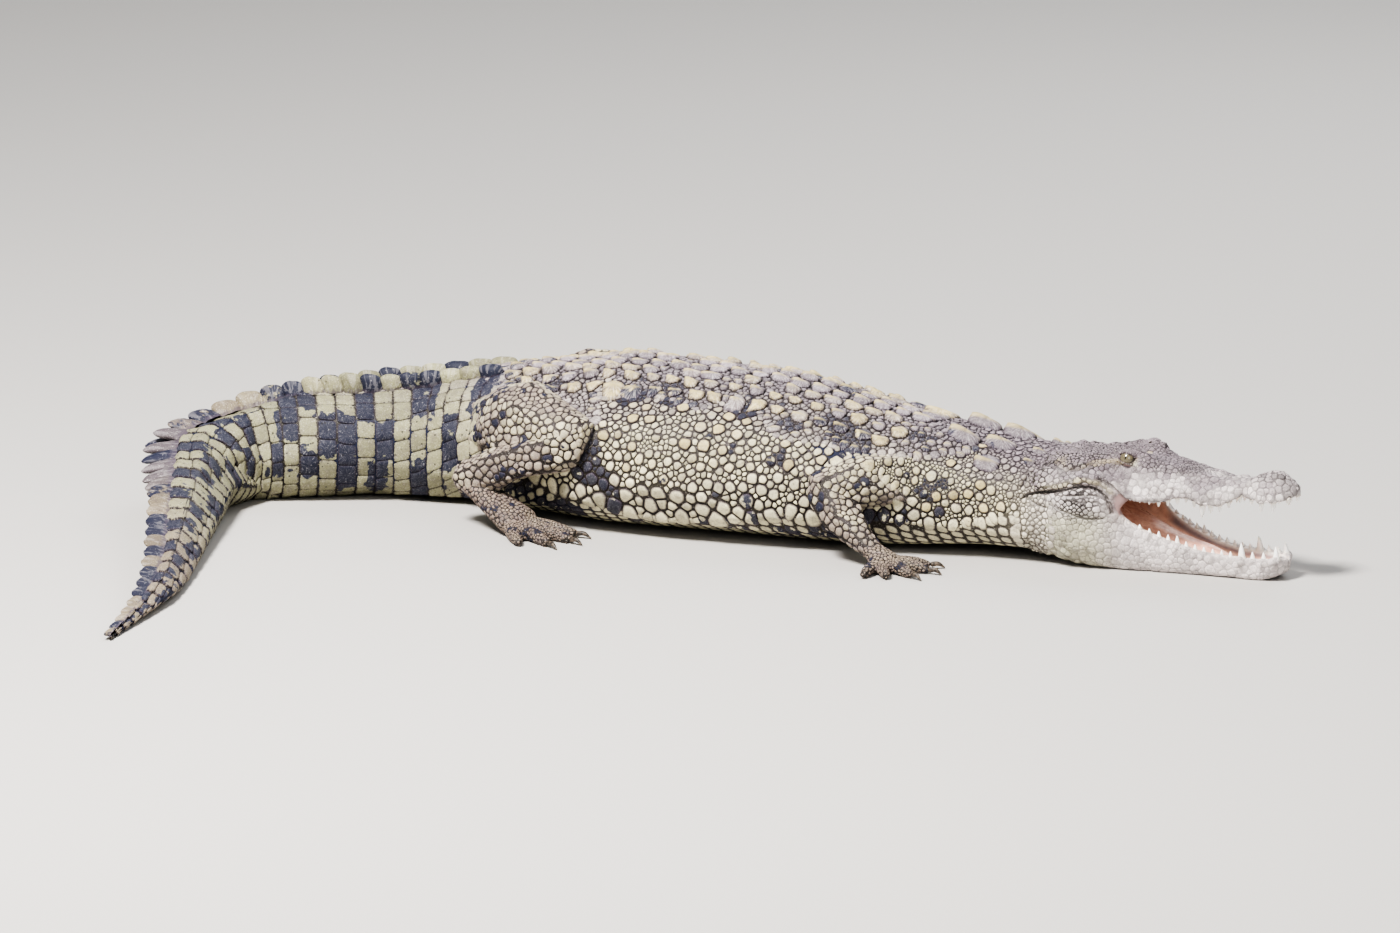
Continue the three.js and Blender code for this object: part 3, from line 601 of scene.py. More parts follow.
# The body's hide is smoothed up to SOFT_TO and made of bigger faces up to COARSE_TO, along the head's line.
SOFT_TO, COARSE_TO = 740, 640
apply_modifier(hide, "REMESH", mode="VOXEL", voxel_size=0.0033)
points = points_of(hide)
soft = hide.vertex_groups.new(name="soft")
soft.add(np.nonzero(straighten_head(points)[:, 0] < SOFT_TO)[0].tolist(), 1.0, "REPLACE")
apply_modifier(hide, "SMOOTH", factor=0.5, iterations=8, vertex_group="soft")
coarse = hide.vertex_groups.new(name="coarse")
points = points_of(hide)
part = whereabouts(points)[0]
is_foot = np.array(["toe" in name or "palm" in name for name in PARTS])[part]
body_side = straighten_head(points)[:, 0] < COARSE_TO
coarse.add(np.nonzero(body_side & ~is_foot)[0].tolist(), 1.0, "REPLACE")
coarse.add(np.nonzero(body_side & is_foot)[0].tolist(), 0.25, "REPLACE")
apply_modifier(hide, "DECIMATE", ratio=0.205, vertex_group="coarse", vertex_group_factor=100)

# Around the eyes and the nostrils the mesh is divided once more, for lids and rims.
EYE_AT = np.array([868.0, 56.0, 227.0])
EYE_RADIUS = 18.4
NOSTRIL_AT = np.array([1186.0, 11.0, 225.0])
straight = straighten_head(points_of(hide))
folded = straight * (1, 0, 1) + np.abs(straight) * (0, 1, 0)
fine = (np.linalg.norm(folded - EYE_AT, axis=1) < 38) | (np.linalg.norm(folded - NOSTRIL_AT, axis=1) < 17)
fine |= (np.abs(folded[:, 0] - 772) < 100) & (np.abs(folded[:, 2] - 160) < 58) & (folded[:, 1] > 92)
mesh = bmesh.new()
mesh.from_mesh(hide.data)
mesh.verts.ensure_lookup_table()
edges = {edge for i in np.nonzero(fine)[0] for edge in mesh.verts[i].link_edges
         if all(fine[v.index] for v in edge.verts)}
bmesh.ops.subdivide_edges(mesh, edges=list(edges), cuts=1, use_grid_fill=True, smooth=0.4)
bmesh.ops.triangulate(mesh, faces=[f for f in mesh.faces if len(f.verts) > 4])
mesh.to_mesh(hide.data)
mesh.free()


def near(p, centre, radii):
    """A soft mask, 1 at the centre and fading over the radii."""
    return np.exp(-(((p - np.array(centre)) / np.array(radii)) ** 2).sum(-1))


def near_path(p, path, width):
    """A soft mask along a path of points, fading over the width. A path of two numbers a point is followed
    as seen from the side."""
    path = np.array(path, float)
    p = p if path.shape[1] == 3 else p[:, ::2]
    best = np.full(len(p), np.inf)
    for a, b in zip(path[:-1], path[1:]):
        t = np.clip(((p - a) @ (b - a)) / ((b - a) @ (b - a)), 0, 1)
        best = np.minimum(best, np.linalg.norm(p - a - t[:, None] * (b - a), axis=1))
    return np.exp(-((best / width) ** 2))


def grain(p, size, seed=0):
    """Soft random values between 0 and 1 over space, that change over the given size."""
    q = np.asarray(p, float) / size + 97.3
    base = np.floor(q).astype(np.int64)
    f = smooth(q - base)
    total = 0
    for corner in np.ndindex(2, 2, 2):
        c = base + np.array(corner)
        h = (c[..., 0] * 73856093) ^ (c[..., 1] * 19349663) ^ (c[..., 2] * 83492791) ^ (seed * 2654435761)
        h = (h ^ (h >> 13)) * 1274126177
        h = ((h ^ (h >> 16)) & 0xFFFF) / 65535.0
        w = np.prod(np.where(np.array(corner) == 1, f, 1 - f), -1)
        total = total + h * w
    return total


# The head's own forms, as [path or centre, spread, rise] on the folded half, in millimetres.
RIDGES = [
    ([(700, 62, 222), (742, 60, 227), (800, 63, 231), (848, 59, 240)], 6.0, 4.0),  # the skull's edge
    ([(884, 47, 242), (925, 44, 231), (985, 38, 216), (1050, 32, 203), (1100, 27, 199)], 7.0, 3.4),
    ([(700, 132, 196), (762, 112, 208), (810, 98, 214), (852, 84, 214)], 11.0, 4.5),  # the bar behind the eye
    ([(838, 54, 243), (852, 55, 249), (872, 53, 251), (892, 48, 248), (904, 44, 241)], 5.5, 7.5),  # the brow
    ([(898, 60, 226), (888, 74, 214), (868, 82, 207), (850, 82, 209)], 5.0, 2.6),  # below the eye
    ([(893, 106, 158), (930, 92, 154), (950, 86, 153)], 8.0, 2.4),
    ([(905, 80, 196), (950, 74, 186), (1000, 66, 180), (1050, 62, 174)], 12.0, 1.6),
    ([(1105, 30, 34), (1060, 50, 30), (1000, 62, 38), (930, 84, 46), (860, 108, 62)], 16.0, 2.4),
    ([(672, 146, 60), (690, 152, 100), (700, 150, 140)], 13.0, 4.0),  # the jaw's hind corner
    ([(700, 164), (740, 174), (778, 184), (805, 191), (830, 189), (848, 178), (860, 165)],
     6.5, 5.5),  # over the crease
    ([(725, 216), (747, 212), (765, 209), (786, 213), (806, 219)], 4.0, 3.0),  # the ear's flap
    ([(814, 220), (848, 225), (867, 221), (887, 229)], 3.0, 2.2),  # the lower lid
]
CREASES = [
    ([(747, 227), (758, 231), (776, 232), (794, 229)], 2.6, 4.0),  # over the ear
    ([(725, 210), (747, 205), (765, 202), (786, 207), (806, 212)], 2.6, 4.5),  # under the ear's flap
    ([(800, 218), (819, 222), (834, 228), (846, 232)], 2.6, 6.0),  # from the ear to the eye
    ([(659, 163), (669, 187), (685, 198), (703, 211), (716, 224), (729, 232)], 4.0, 8.0),  # behind the skull
    ([(668, 142), (684, 150), (717, 158), (755, 165), (778, 172), (803, 178), (822, 177), (838, 168),
      (849, 156), (856, 141), (860, 124)], 3.0, 11.0),  # over the jaw
    ([(740, 153), (791, 158), (831, 160), (846, 148)], 2.0, 3.6),  # wrinkles on the jaw's pad
    ([(790, 146), (834, 145), (848, 130)], 2.0, 3.0),
    ([(730, 141), (756, 127), (780, 121), (802, 114), (822, 110), (846, 111)], 2.2, 4.0),
    ([(684, 138), (701, 130), (722, 125)], 2.6, 4.0),
    ([(982, 78, 152), (982, 76, 166), (981, 73, 180)], 2.6, 4.0),  # folds of the upper lip
    ([(1124, 44, 174), (1122, 42, 188), (1118, 38, 198)], 3.2, 5.0),
    ([(1062, 70, 156), (1062, 68, 174)], 2.6, 2.0),
    ([(655, 140, 30), (658, 144, 80), (662, 144, 130), (668, 140, 170)], 7.0, 5.0),  # behind the jaw
    ([(842, 62, 240), (858, 70, 240), (876, 71, 238), (893, 64, 233)], 2.4, 3.5),  # under the brow
]


def near_fold(p, path, width, strength=1):
    """A ridge's or a crease's mask. One that is followed from the side is only on the head's outer faces."""
    mask = near_path(p, path, width) * strength
    return mask * (smooth((np.abs(p[:, 1]) - 0.62 * lip_width(p[:, 0])) / 10) if len(path[0]) == 2 else 1)


LUMPS = [
    ((1178, 0, 220), (26, 24, 14), 4.6), ((1196, 12, 220), (10, 8, 10), 2.2),
    ((930, 62, 204), (44, 13, 14), -4.4), ((985, 22, 219), (18, 10, 10), 4.0),
    ((1040, 18, 210), (16, 9, 9), 3.0), ((1092, 14, 204), (15, 9, 9), 2.6),
    ((960, 0, 222), (40, 8, 8), -2.4), ((1135, 0, 208), (12, 22, 10), -2.0),
    ((800, 0, 229), (32, 30, 10), -3.0), ((812, 118, 207), (26, 18, 12), 2.0),
    ((790, 148, 142), (44, 20, 30), 6.5), ((1225, 0, 190), (14, 16, 14), 1.8),
    ((790, 86, 222), (26, 10, 6), -3.0), ((915, 84, 176), (30, 14, 14), 2.4),
    ((735, 90, 224), (20, 14, 8), -2.0),
]
# Roots of the big teeth swell the lips: x of each, its half-length and rise, above and below.
UPPER_SWELLS = [(905, 9, 1.0), (924, 9, 1.2), (943, 9, 1.3), (962, 9, 1.4), (1003, 11, 1.8),
                (1022, 10, 2.0), (1042, 12, 3.2), (1081, 10, 1.6), (1100, 8, 1.2),
                (1146, 9, 1.4), (1170, 11, 2.6), (1194, 10, 2.4), (1214, 8, 1.0)]
LOWER_SWELLS = [(928, 9, 1.2), (948, 9, 1.2), (967, 9, 1.4), (986, 10, 2.0), (1005, 9, 1.4), (1024, 9, 1.2),
                (1043, 9, 1.2), (1062, 9, 1.2), (1081, 9, 1.2), (1124, 12, 3.2), (1147, 9, 1.6),
                (1170, 9, 1.6), (1194, 11, 2.6)]


FOLDS_FROM, FOLDS_FADE = 626, 34  # how far back the head's forms reach, and over what length they fade


def sculpt_head(straight, normal):
    """Moves the head's points to their folds, ridges and swellings."""
    p = np.column_stack([straight[:, 0], np.abs(straight[:, 1]), straight[:, 2]])
    rise = np.zeros(len(p))
    for path, width, height in RIDGES:
        rise += height * near_fold(p, path, width) * (0.6 + 0.8 * grain(straight, 12, 3))
    for path, width, depth in CREASES:
        rise -= depth * near_fold(p, path, width)
    for centre, radii, height in LUMPS:
        rise += height * near(p, centre, radii)
    outside = smooth((normal[:, 1] * np.sign(straight[:, 1]) + 0.15) / 0.4)
    for swells, edge_at, up, lift, long, tall in (
            (UPPER_SWELLS, lip_height, 7, 2.2, 0.7, 11), (LOWER_SWELLS, gum_height, -7, 3.0, 0.66, 10)):
        for x, half, height in swells:
            away = p[:, 2] - edge_at(x) - up
            rise += lift * height * outside * np.exp(-((p[:, 0] - x) / half / long) ** 2 - (away / tall) ** 2)
    top = smooth((normal[:, 2] - 0.1) / 0.5)
    lumps = grain(straight, 30, 71) - 0.5
    rise += 5.0 * lumps * outside * smooth((p[:, 0] - 740) / 60)
    knobs = grain(straight, 15, 5) + 0.7 * grain(straight, 7, 6) - 0.85
    rise += knobs * (0.7 + 4.4 * top * smooth((p[:, 2] - 180) / 20))
    # The skin is drawn into wavy wrinkles on the lips, the jaw muscle's pad and under the throat.
    wave = 4 * grain(straight, 26, 8)
    pad = near(p, (795, 146, 146), (50, 30, 30))
    rise += pad * 1.2 * np.sin((p[:, 2] * 0.8 + p[:, 0] * 0.4) * 0.42 + wave)
    over_lip = np.abs(p[:, 2] - lip_height(p[:, 0]) - 20)
    lip = outside * smooth((p[:, 0] - 880) / 30) * smooth((26 - over_lip) / 14)
    rise += lip * 0.8 * np.sin(p[:, 0] * 0.42 + wave)
    fold = smooth((860 - p[:, 0]) / 60) * smooth((74 - p[:, 2]) / 40)
    rise += fold * 2.6 * np.sin(p[:, 0] * 0.2 + p[:, 2] * 0.12 + wave)
    rise *= smooth((p[:, 0] - FOLDS_FROM) / FOLDS_FADE)
    moved = straight + normal * rise[:, None]
    # The nostrils are two crescents that open on top of the snout's end.
    q = np.column_stack([moved[:, 0], np.abs(moved[:, 1]), moved[:, 2]])
    slit = near_path(q, [(1180, 8, 226), (1186, 13, 226), (1192, 11, 225)], 3.0)
    rim = near_path(q, [(1176, 9, 226), (1186, 17.5, 224), (1196, 12, 223)], 4.0)
    return moved + normal * (1.6 * rim * (1 - slit) - 6.0 * slit)[:, None]


# The eye looks outwards, upwards and a little forwards, through a slit between two heavy lids.
EYE_OUT = np.array([0.14, 0.87, 0.47])
EYE_OUT = EYE_OUT / np.linalg.norm(EYE_OUT)
EYE_UP = np.array([0.10, -0.47, 0.87])
EYE_UP = EYE_UP - EYE_OUT * (EYE_UP @ EYE_OUT)
EYE_UP = EYE_UP / np.linalg.norm(EYE_UP)
EYE_AHEAD = np.cross(EYE_OUT, EYE_UP)
SLIT_HALF = 0.92  # half the slit's length, as a share of the ball


def lid_edges(ahead):
    """The upper and lower lids' edges over the eye, by how far ahead of its middle."""
    open_share = np.sqrt(np.clip(1 - (ahead / SLIT_HALF) ** 2, 0, 1))
    return 0.27 * open_share**0.6 + 0.02, -0.60 * open_share + 0.02


def shape_lids(straight):
    """Wraps the hide round the eyeballs as lids, and opens it over them."""
    moved = straight.copy()
    for side in (-1, 1):
        mirror = np.array([1, side, 1])
        offset = straight * mirror - EYE_AT
        reach = np.linalg.norm(offset, axis=1)
        w = offset / np.maximum(reach, 1e-6)[:, None]
        out, up, ahead = w @ EYE_OUT, w @ EYE_UP, w @ EYE_AHEAD
        upper, lower = lid_edges(ahead)
        opened = smooth((np.minimum(upper - up, up - lower) + 0.03) / 0.07) * (np.abs(ahead) < SLIT_HALF)
        hood = 3.4 * near(np.column_stack([ahead, up]), (0.0, 0.56), (0.9, 0.22))
        bag = 2.6 * near(np.column_stack([ahead, up]), (0.15, -0.60), (0.8, 0.16))
        bag -= 1.6 * near(np.column_stack([ahead, up]), (0.1, -0.88), (0.8, 0.10))
        lid = EYE_RADIUS + 2.3 + hood + bag - 1.2 * near(np.column_stack([ahead, up]), (0, 0.92), (0.7, 0.12))
        target = np.where(opened > 0, lid + (EYE_RADIUS - 5 - lid) * opened, lid)
        share = smooth((out - 0.06) / 0.40) * (reach < 40)
        new_reach = reach + (target - reach) * share
        change = (w * (new_reach - reach)[:, None]) * mirror
        moved += change
    return moved


normal = normals_of(hide)
straight_normal = straighten_head(normal + NECK_AT) - (HEAD_BACK, 0, 0)
points = points_of(hide)
straight = straighten_head(points)
is_head = (straight[:, 0] > FOLDS_FROM) & (np.abs(straight[:, 1]) < 175)
head_index = np.nonzero(is_head)[0]
shaped = shape_lids(sculpt_head(straight[is_head], straight_normal[is_head]))
shaped[:, 2] = np.maximum(shaped[:, 2], 0.4)
points[head_index] = turn_head(shaped)
put_points(hide, points)

# ---- The scales' make ----
# A scale is a low horny plate with a rounded rim that grows out of the hide. All of them are made in
# one way: an outline round a root, raised in rings over the hide, with a dome and often a keel.
hide_tree = BVHTree.FromObject(hide, bpy.context.evaluated_depsgraph_get())


def settle(points):
    """The nearest places on the hide to points in millimetres, and the hide's normals there."""
    flat = (points.reshape(-1, 3) * MM + TO_FRAME)
    places, normals = np.empty_like(flat), np.empty_like(flat)
    for i, p in enumerate(flat):
        place, normal, _, _ = hide_tree.find_nearest(p)
        places[i], normals[i] = place, normal
    return (places.reshape(points.shape) - TO_FRAME) / MM, normals.reshape(points.shape)


def srgb(*levels):
    c = np.array(levels, float) / 255
    return np.where(c <= 0.04045, c / 12.92, ((c + 0.055) / 1.055) ** 2.4)


RINGS = [(1.0, -0.9), (0.965, 0.35), (0.84, 0.80), (0.60, 0.95), (0.30, 1.0)]
SMALL_RINGS = [(1.0, -0.9), (0.90, 0.55), (0.55, 1.0)]
FLAT_RINGS = [(1.0, -0.9), (0.985, 0.6), (0.93, 0.92), (0.55, 1.0)]
BEAD_RINGS = [(1.0, -0.7), (0.66, 0.9)]


def unit_offsets(outline, rings):
    """Where a scale's points lie along and across, as shares of the outline, and the outline at each."""
    sides = outline.shape[1]
    angle = np.arange(sides) * 2 * math.pi / sides
    share = np.array([r for r, _ in rings])[:, None]
    x, y = (np.concatenate([(share * way(angle)).ravel(), [0]]) for way in (np.cos, np.sin))
    return x, y, np.concatenate([np.tile(outline, (1, len(rings))), outline[:, :1]], 1)


class Coat:
    """A joined mesh of many scales, with their colours, their own places and their pattern."""

    def __init__(self, name):
        self.name = name
        self.points, self.quads, self.tris, self.first = [], [], [], 0
        self.paint, self.marks, self.local, self.pattern = [], [], [], []

    def add_caps(self, made, sides, flip=False):
        """Adds caps of points (n, rings * sides + 1, 3): rings that rise to the last point."""
        n, per, _ = made.shape
        k, last = np.arange(sides), per - 1 - sides
        after = (k + 1) % sides
        ring_at = np.arange(0, last, sides)[:, None]
        quad = np.stack([ring_at + k, ring_at + after, ring_at + sides + after, ring_at + sides + k], -1)
        tri = np.stack([last + k, last + after, np.full(sides, per - 1)], -1)
        way = -1 if flip else 1
        start = self.first + np.arange(n)[:, None, None] * per
        self.points.append(made.reshape(-1, 3))
        self.quads.append((start + quad[..., ::way].reshape(1, -1, 4)).reshape(-1, 4))
        self.tris.append((start + tri[..., ::way].reshape(1, -1, 3)).reshape(-1, 3))
        self.first += n * per

    def add_cone(self, made, sides, flip, paint, marks, local, centre, fan, spread):
        """Adds one cap with its own colours. Its pattern is a fan round a centre."""
        per, ray = len(made), np.arange(sides) * 2 * math.pi / sides
        self.add_caps(made[None], sides, flip)
        self.paint.append(np.column_stack([np.broadcast_to(paint, (per, 3)), np.ones(per)]))
        self.marks.append(np.column_stack([np.broadcast_to(mark, per) for mark in marks]))
        self.local.append(local)
        ray = np.concatenate([np.tile(ray, per // sides), [0]])[:, None]
        fan = np.concatenate([np.repeat(fan, sides), [0]])[:, None]
        self.pattern.append(centre + np.hstack([np.cos(ray), np.sin(ray)]) * fan * spread)

    def grow(self, base, normal, outline, height, dome, keel, paint, blot, place, spread, rings,
             tilt=0.0, dice=None, etch=None):
        """base and normal (n, rings * sides + 1, 3) lie on the hide; outline (n, sides) is the reach."""
        n, sides = outline.shape
        x, y, reach = unit_offsets(outline, rings)
        rho = np.concatenate([np.repeat([r for r, _ in rings], sides), [0]])
        up = np.concatenate([np.repeat([z for _, z in rings], sides), [1.0]])
        lift = height[:, None] * up + dome[:, None] * (1 - rho**2) * (up > 0)
        ridge = np.clip(1 - np.abs(y) / 0.42, 0, 1) * (0.45 + 0.55 * smooth((x + 0.9) / 1.5)) * (up > 0)
        lift = lift + keel[:, None] * ridge * np.where(rho < 0.9, 1, 0.55)
        lift = lift + tilt * x * height[:, None] * (up > 0)
        made = base + normal * lift[..., None]
        made[..., 2] = np.maximum(made[..., 2], 0.05)
        per = made.shape[1]
        self.add_caps(made, sides)
        dice = np.random.default_rng(len(self.points) + 5).random(n) if dice is None else dice
        spot = np.broadcast_to(paint[:, None, :], (n, per, 3)).reshape(-1, 3)
        etch = np.ones(n) if etch is None else etch
        self.paint.append(np.column_stack([spot, np.repeat(etch, per)]))
        rim = np.broadcast_to(rho, (n, per))
        crown = np.broadcast_to(ridge, (n, per)) * (keel[:, None] > 0.5)
        blot = blot.reshape(n, -1)
        ragged = blot + (blot > 0.02) * 1.2 * (grain(base, 15, 44) - 0.5)
        self.marks.append(np.stack([rim, np.broadcast_to(dice[:, None], (n, per)), crown,
                                    np.clip(ragged, 0, 1)], -1).reshape(-1, 4))
        self.local.append(np.broadcast_to(np.stack([x, y], -1), (n, per, 2)).reshape(-1, 2))
        step = np.stack([x, y], -1)[None] * (reach * spread[:, None])[..., None]
        self.pattern.append((place[:, None, :] + step).reshape(-1, 2))

    def finish(self, material, slot):
        points = np.vstack(self.points) * MM + TO_FRAME
        quads, tris = np.vstack(self.quads), np.vstack(self.tris)
        mesh = bpy.data.meshes.new(self.name)
        mesh.vertices.add(len(points))
        mesh.vertices.foreach_set("co", points.ravel())
        corners = np.concatenate([quads.ravel(), tris.ravel()])
        mesh.loops.add(len(corners))
        mesh.loops.foreach_set("vertex_index", corners)
        mesh.polygons.add(len(quads) + len(tris))
        starts = np.concatenate([np.arange(len(quads)) * 4, len(quads) * 4 + np.arange(len(tris)) * 3])
        mesh.polygons.foreach_set("loop_start", starts)
        mesh.polygons.foreach_set("use_smooth", np.ones(len(starts), bool))
        for name, values in (("paint", np.vstack(self.paint)), ("marks", np.vstack(self.marks))):
            mesh.attributes.new(name, "FLOAT_COLOR", "POINT").data.foreach_set("color", values.ravel())
        for name, values in (("OFBake", np.vstack(self.pattern)), ("Lie", np.vstack(self.local))):
            mesh.uv_layers.new(name=name).data.foreach_set("uv", values[corners].ravel())
        mesh.update(calc_edges=True)
        mesh.validate()
        mesh.materials.append(material)
        piece = bpy.data.objects.new(self.name, mesh)
        bpy.context.collection.objects.link(piece)
        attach(piece, "root")
        return piece


def offsets(outline, rings):
    """How far each of a scale's points lies along and across from its root."""
    x, y, reach = unit_offsets(outline, rings)
    return x * reach, y * reach


def oblong(half_long, half_wide, sides, square=4.5):
    """Rounded oblong outlines, by angle."""
    angle = np.arange(sides) * 2 * math.pi / sides
    c, s = np.abs(np.cos(angle)), np.abs(np.sin(angle))
    return ((c / half_long[:, None]) ** square + (s / half_wide[:, None]) ** square) ** (-1 / square)


# The girth of the body from the middle of the back down each side, for scales that stand in rows.
GIRTH_STEP = 12.0
girth_s = np.arange(0.0, VENT + TAIL, GIRTH_STEP)
girth_fall = np.linspace(0, math.pi, 91)
ring = body_point(*np.meshgrid(girth_s, math.pi / 2 - girth_fall, indexing="ij"), COAT)
arc = np.concatenate([np.zeros((len(girth_s), 1)),
                      np.cumsum(np.linalg.norm(np.diff(ring, axis=1), axis=2), 1)], 1)
SHARES = np.linspace(0, 1, 65)
fall_at = np.array([np.interp(SHARES * row[-1], row, girth_fall) for row in arc])


def girth(s):
    return np.interp(s, girth_s, arc[:, -1])


def fall(s, share):
    """The angle down from the back, by distance along and share of the way to the belly's middle."""
    i = np.clip(s / GIRTH_STEP, 0, len(girth_s) - 1.001)
    j = np.clip(np.abs(share) * 64, 0, 63.999)
    i0, j0 = i.astype(int), j.astype(int)
    fi, fj = i - i0, j - j0
    low = fall_at[i0, j0] * (1 - fj) + fall_at[i0, j0 + 1] * fj
    high = fall_at[i0 + 1, j0] * (1 - fj) + fall_at[i0 + 1, j0 + 1] * fj
    return np.sign(share) * (low * (1 - fi) + high * fi)


def on_body(s, b):
    """The body's point at a distance along the spine and down the side, in millimetres."""
    g = girth(s)
    share = np.clip(b / g, -1.15, 1.15)
    share = np.where(np.abs(share) > 1, np.sign(share) * (2 - np.abs(share)) * -1, share)
    return body_point(s, math.pi / 2 - fall(s, share), COAT)


def body_pattern(s, b):
    x0, y0, w, h = PATTERN["body"]
    return np.column_stack([x0 + w * (s + 16) / (VENT + TAIL + 16), y0 + h * (0.5 + 0.5 * b / girth(s))])


def row_scales(coat, s, b, half_long, half_wide, height, dome, keel, paint, blot, sides=16, rings=RINGS,
               tilt=0.0, dice=None, square=4.5):
    """Grows scales that stand in rows along and around the body."""
    half_long, half_wide, height, dome, keel = (
        np.broadcast_to(np.asarray(v, float), s.shape) for v in (half_long, half_wide, height, dome, keel))
    outline = oblong(half_long, half_wide, sides, square)
    x, y = offsets(outline, rings)
    blot = blot(s[:, None] + x, b[:, None] + y) if callable(blot) else np.broadcast_to(blot, s.shape)
    base, normal = settle(on_body(s[:, None] + x, b[:, None] + y))
    # A scale that would stand on a limb instead of the body is left out.
    off = np.linalg.norm(base[:, -1] - on_body(s, b), axis=1)
    keep = off < 14
    coat.grow(base[keep], normal[keep], outline[keep], height[keep], dome[keep], keel[keep], paint[keep],
              blot[keep], body_pattern(s, b)[keep], np.full(keep.sum(), 0.9 / (VENT + TAIL)), rings, tilt,
              None if dice is None else dice[keep])


# The crowded scales grown so far, as where they stand and how big they are, so that the next make room.
grown = [np.zeros((0, 3)), np.zeros(0)]


def cells(points, normal, radius, back, gap, loose=1.5, sides=24, neighbours=17, rounding=11.0):
    """Outlines of scales that crowd each other, in the hide's own plane: along it is the way back."""
    every, sizes = np.vstack([points, grown[0]]), np.concatenate([radius, grown[1]])
    tree = tree_of(every)
    found = np.array([[j for _, j, _ in tree.find_n(p, neighbours)] for p in points])[:, 1:]
    u = back - normal * (back * normal).sum(1)[:, None]
    u /= np.linalg.norm(u, axis=1)[:, None] + 1e-9
    v = np.cross(normal, u)
    away = every[found] - points[:, None]
    dx, dy = (away * u[:, None]).sum(2), (away * v[:, None]).sum(2)
    d = np.hypot(dx, dy) + 1e-6
    wall = d * radius[:, None] / (radius[:, None] + sizes[found])
    facing = np.arctan2(dy, dx)
    angle = np.arange(sides) * 2 * math.pi / sides
    along = np.cos(angle[None, None] - facing[..., None])
    reach = wall[..., None] / np.maximum(along, 0.05)
    limit = (radius * loose)[:, None]
    total = ((1 / np.maximum(reach, 0.1)) ** rounding).sum(1) + (1 / limit) ** rounding
    return total ** (-1 / rounding) - gap / 2, u, v


def crowd(coat, points, normal, radius, back, height, paint, blot, place, gap=2.0, dome=0.35, keel=0.0,
          spread=0.00022, etch=None, loose=1.5, mixed_shades=1.0):
    """Grows scales of given sizes that crowd each other: big ones finely outlined, small ones as beads."""
    outline, u, v = cells(points, normal, radius, back, gap, loose)
    outline = np.maximum(outline, 0.8)
    height = np.broadcast_to(np.asarray(height, float), radius.shape)
    keel = np.broadcast_to(np.asarray(keel, float), radius.shape)
    dice = 0.5 + mixed_shades * (np.random.default_rng(len(points)).random(len(points)) - 0.5)
    for low, high, step, rings in ((12, 999, 1, RINGS), (4.6, 12, 2, SMALL_RINGS), (0, 4.6, 3, BEAD_RINGS)):
        i = np.nonzero((radius >= low) & (radius < high))[0]
        if not len(i):
            continue
        x, y = offsets(outline[i, ::step], rings)
        base = points[i, None] + u[i, None] * x[..., None] + v[i, None] * y[..., None]
        base, ground = settle(base)
        out = ground * 0.5 + normal[i, None] * 0.5
        out /= np.linalg.norm(out, axis=2)[..., None]
        coat.grow(base, out, outline[i, ::step], height[i], height[i] * dome, keel[i], paint[i], blot[i],
                  place[i], np.minimum(spread, 0.0015 / radius[i]), rings, 0.0, dice[i],
                  None if etch is None else etch[i])
    grown[:] = np.vstack([grown[0], points]), np.concatenate([grown[1], radius])


def scatter(points, radius, packing=0.84):
    """Thins points out, in their order, until the scales on them only just touch each other and the grown."""
    before = len(grown[1])
    points, radius = np.vstack([grown[0], points]), np.concatenate([grown[1], radius])
    cell = 2 * packing * radius.max()
    kept, grid = [], {}
    for i, key in enumerate(map(tuple, np.floor(points / cell).astype(int))):
        p, r = points[i], radius[i]
        close = [j for dx in (-1, 0, 1) for dy in (-1, 0, 1) for dz in (-1, 0, 1)
                 for j in grid.get((key[0] + dx, key[1] + dy, key[2] + dz), ())]
        if close and i >= before:
            q = points[close]
            if (((q - p) ** 2).sum(1) < (packing * (radius[close] + r)) ** 2).any():
                continue
        if i >= before:
            kept.append(i - before)
        grid.setdefault(key, []).append(i)
    return np.array(kept, int)


# Every triangle of the hide, for picking places on it by area.
hide.data.calc_loop_triangles()
corner = np.empty(len(hide.data.loop_triangles) * 3, int)
hide.data.loop_triangles.foreach_get("vertices", corner)
hide_points = points_of(hide)
tri_points = hide_points[corner.reshape(-1, 3)]
tri_cross = np.cross(tri_points[:, 1] - tri_points[:, 0], tri_points[:, 2] - tri_points[:, 0])
tri_area = np.linalg.norm(tri_cross, axis=1) / 2
tri_normal = tri_cross / np.maximum(tri_area * 2, 1e-9)[:, None]
tri_centre = tri_points.mean(1)
tri_part, tri_place, tri_s, tri_angle = whereabouts(tri_centre)


def pick(mask, count, seed):
    """Random places on the hide where the mask holds: point, normal, part, pattern place and distance."""
    dice = np.random.default_rng(seed)
    weight = tri_area * mask
    which = dice.choice(len(weight), count, p=weight / weight.sum())
    a, b = dice.random(count), dice.random(count)
    over = a + b > 1
    a, b = np.where(over, 1 - a, a), np.where(over, 1 - b, b)
    t = tri_points[which]
    p = t[:, 0] + (t[:, 1] - t[:, 0]) * a[:, None] + (t[:, 2] - t[:, 0]) * b[:, None]
    return p, which


def mixed(a, b, share):
    return a + (b - a) * np.clip(share, 0, 1)[..., None]


# ---- The animal's colours ----
# Olive cream with blue-black blotches on the tail, lilac grey along the back, pale yellow scales in a
# dark net on the flanks and neck, and a chalky head. Hide and scales take their colours from here.
CREAM, OLIVE, LILAC = srgb(226, 219, 184), srgb(144, 142, 112), srgb(154, 144, 150)
OCHRE, TAN, SKY_BLACK = srgb(208, 192, 140), srgb(136, 124, 104), srgb(34, 38, 60)
CHALK, MAUVE, THROAT = srgb(236, 227, 224), srgb(156, 144, 150), srgb(206, 204, 172)
LEG, FOOT, NET = srgb(168, 156, 140), srgb(146, 130, 116), srgb(66, 56, 56)


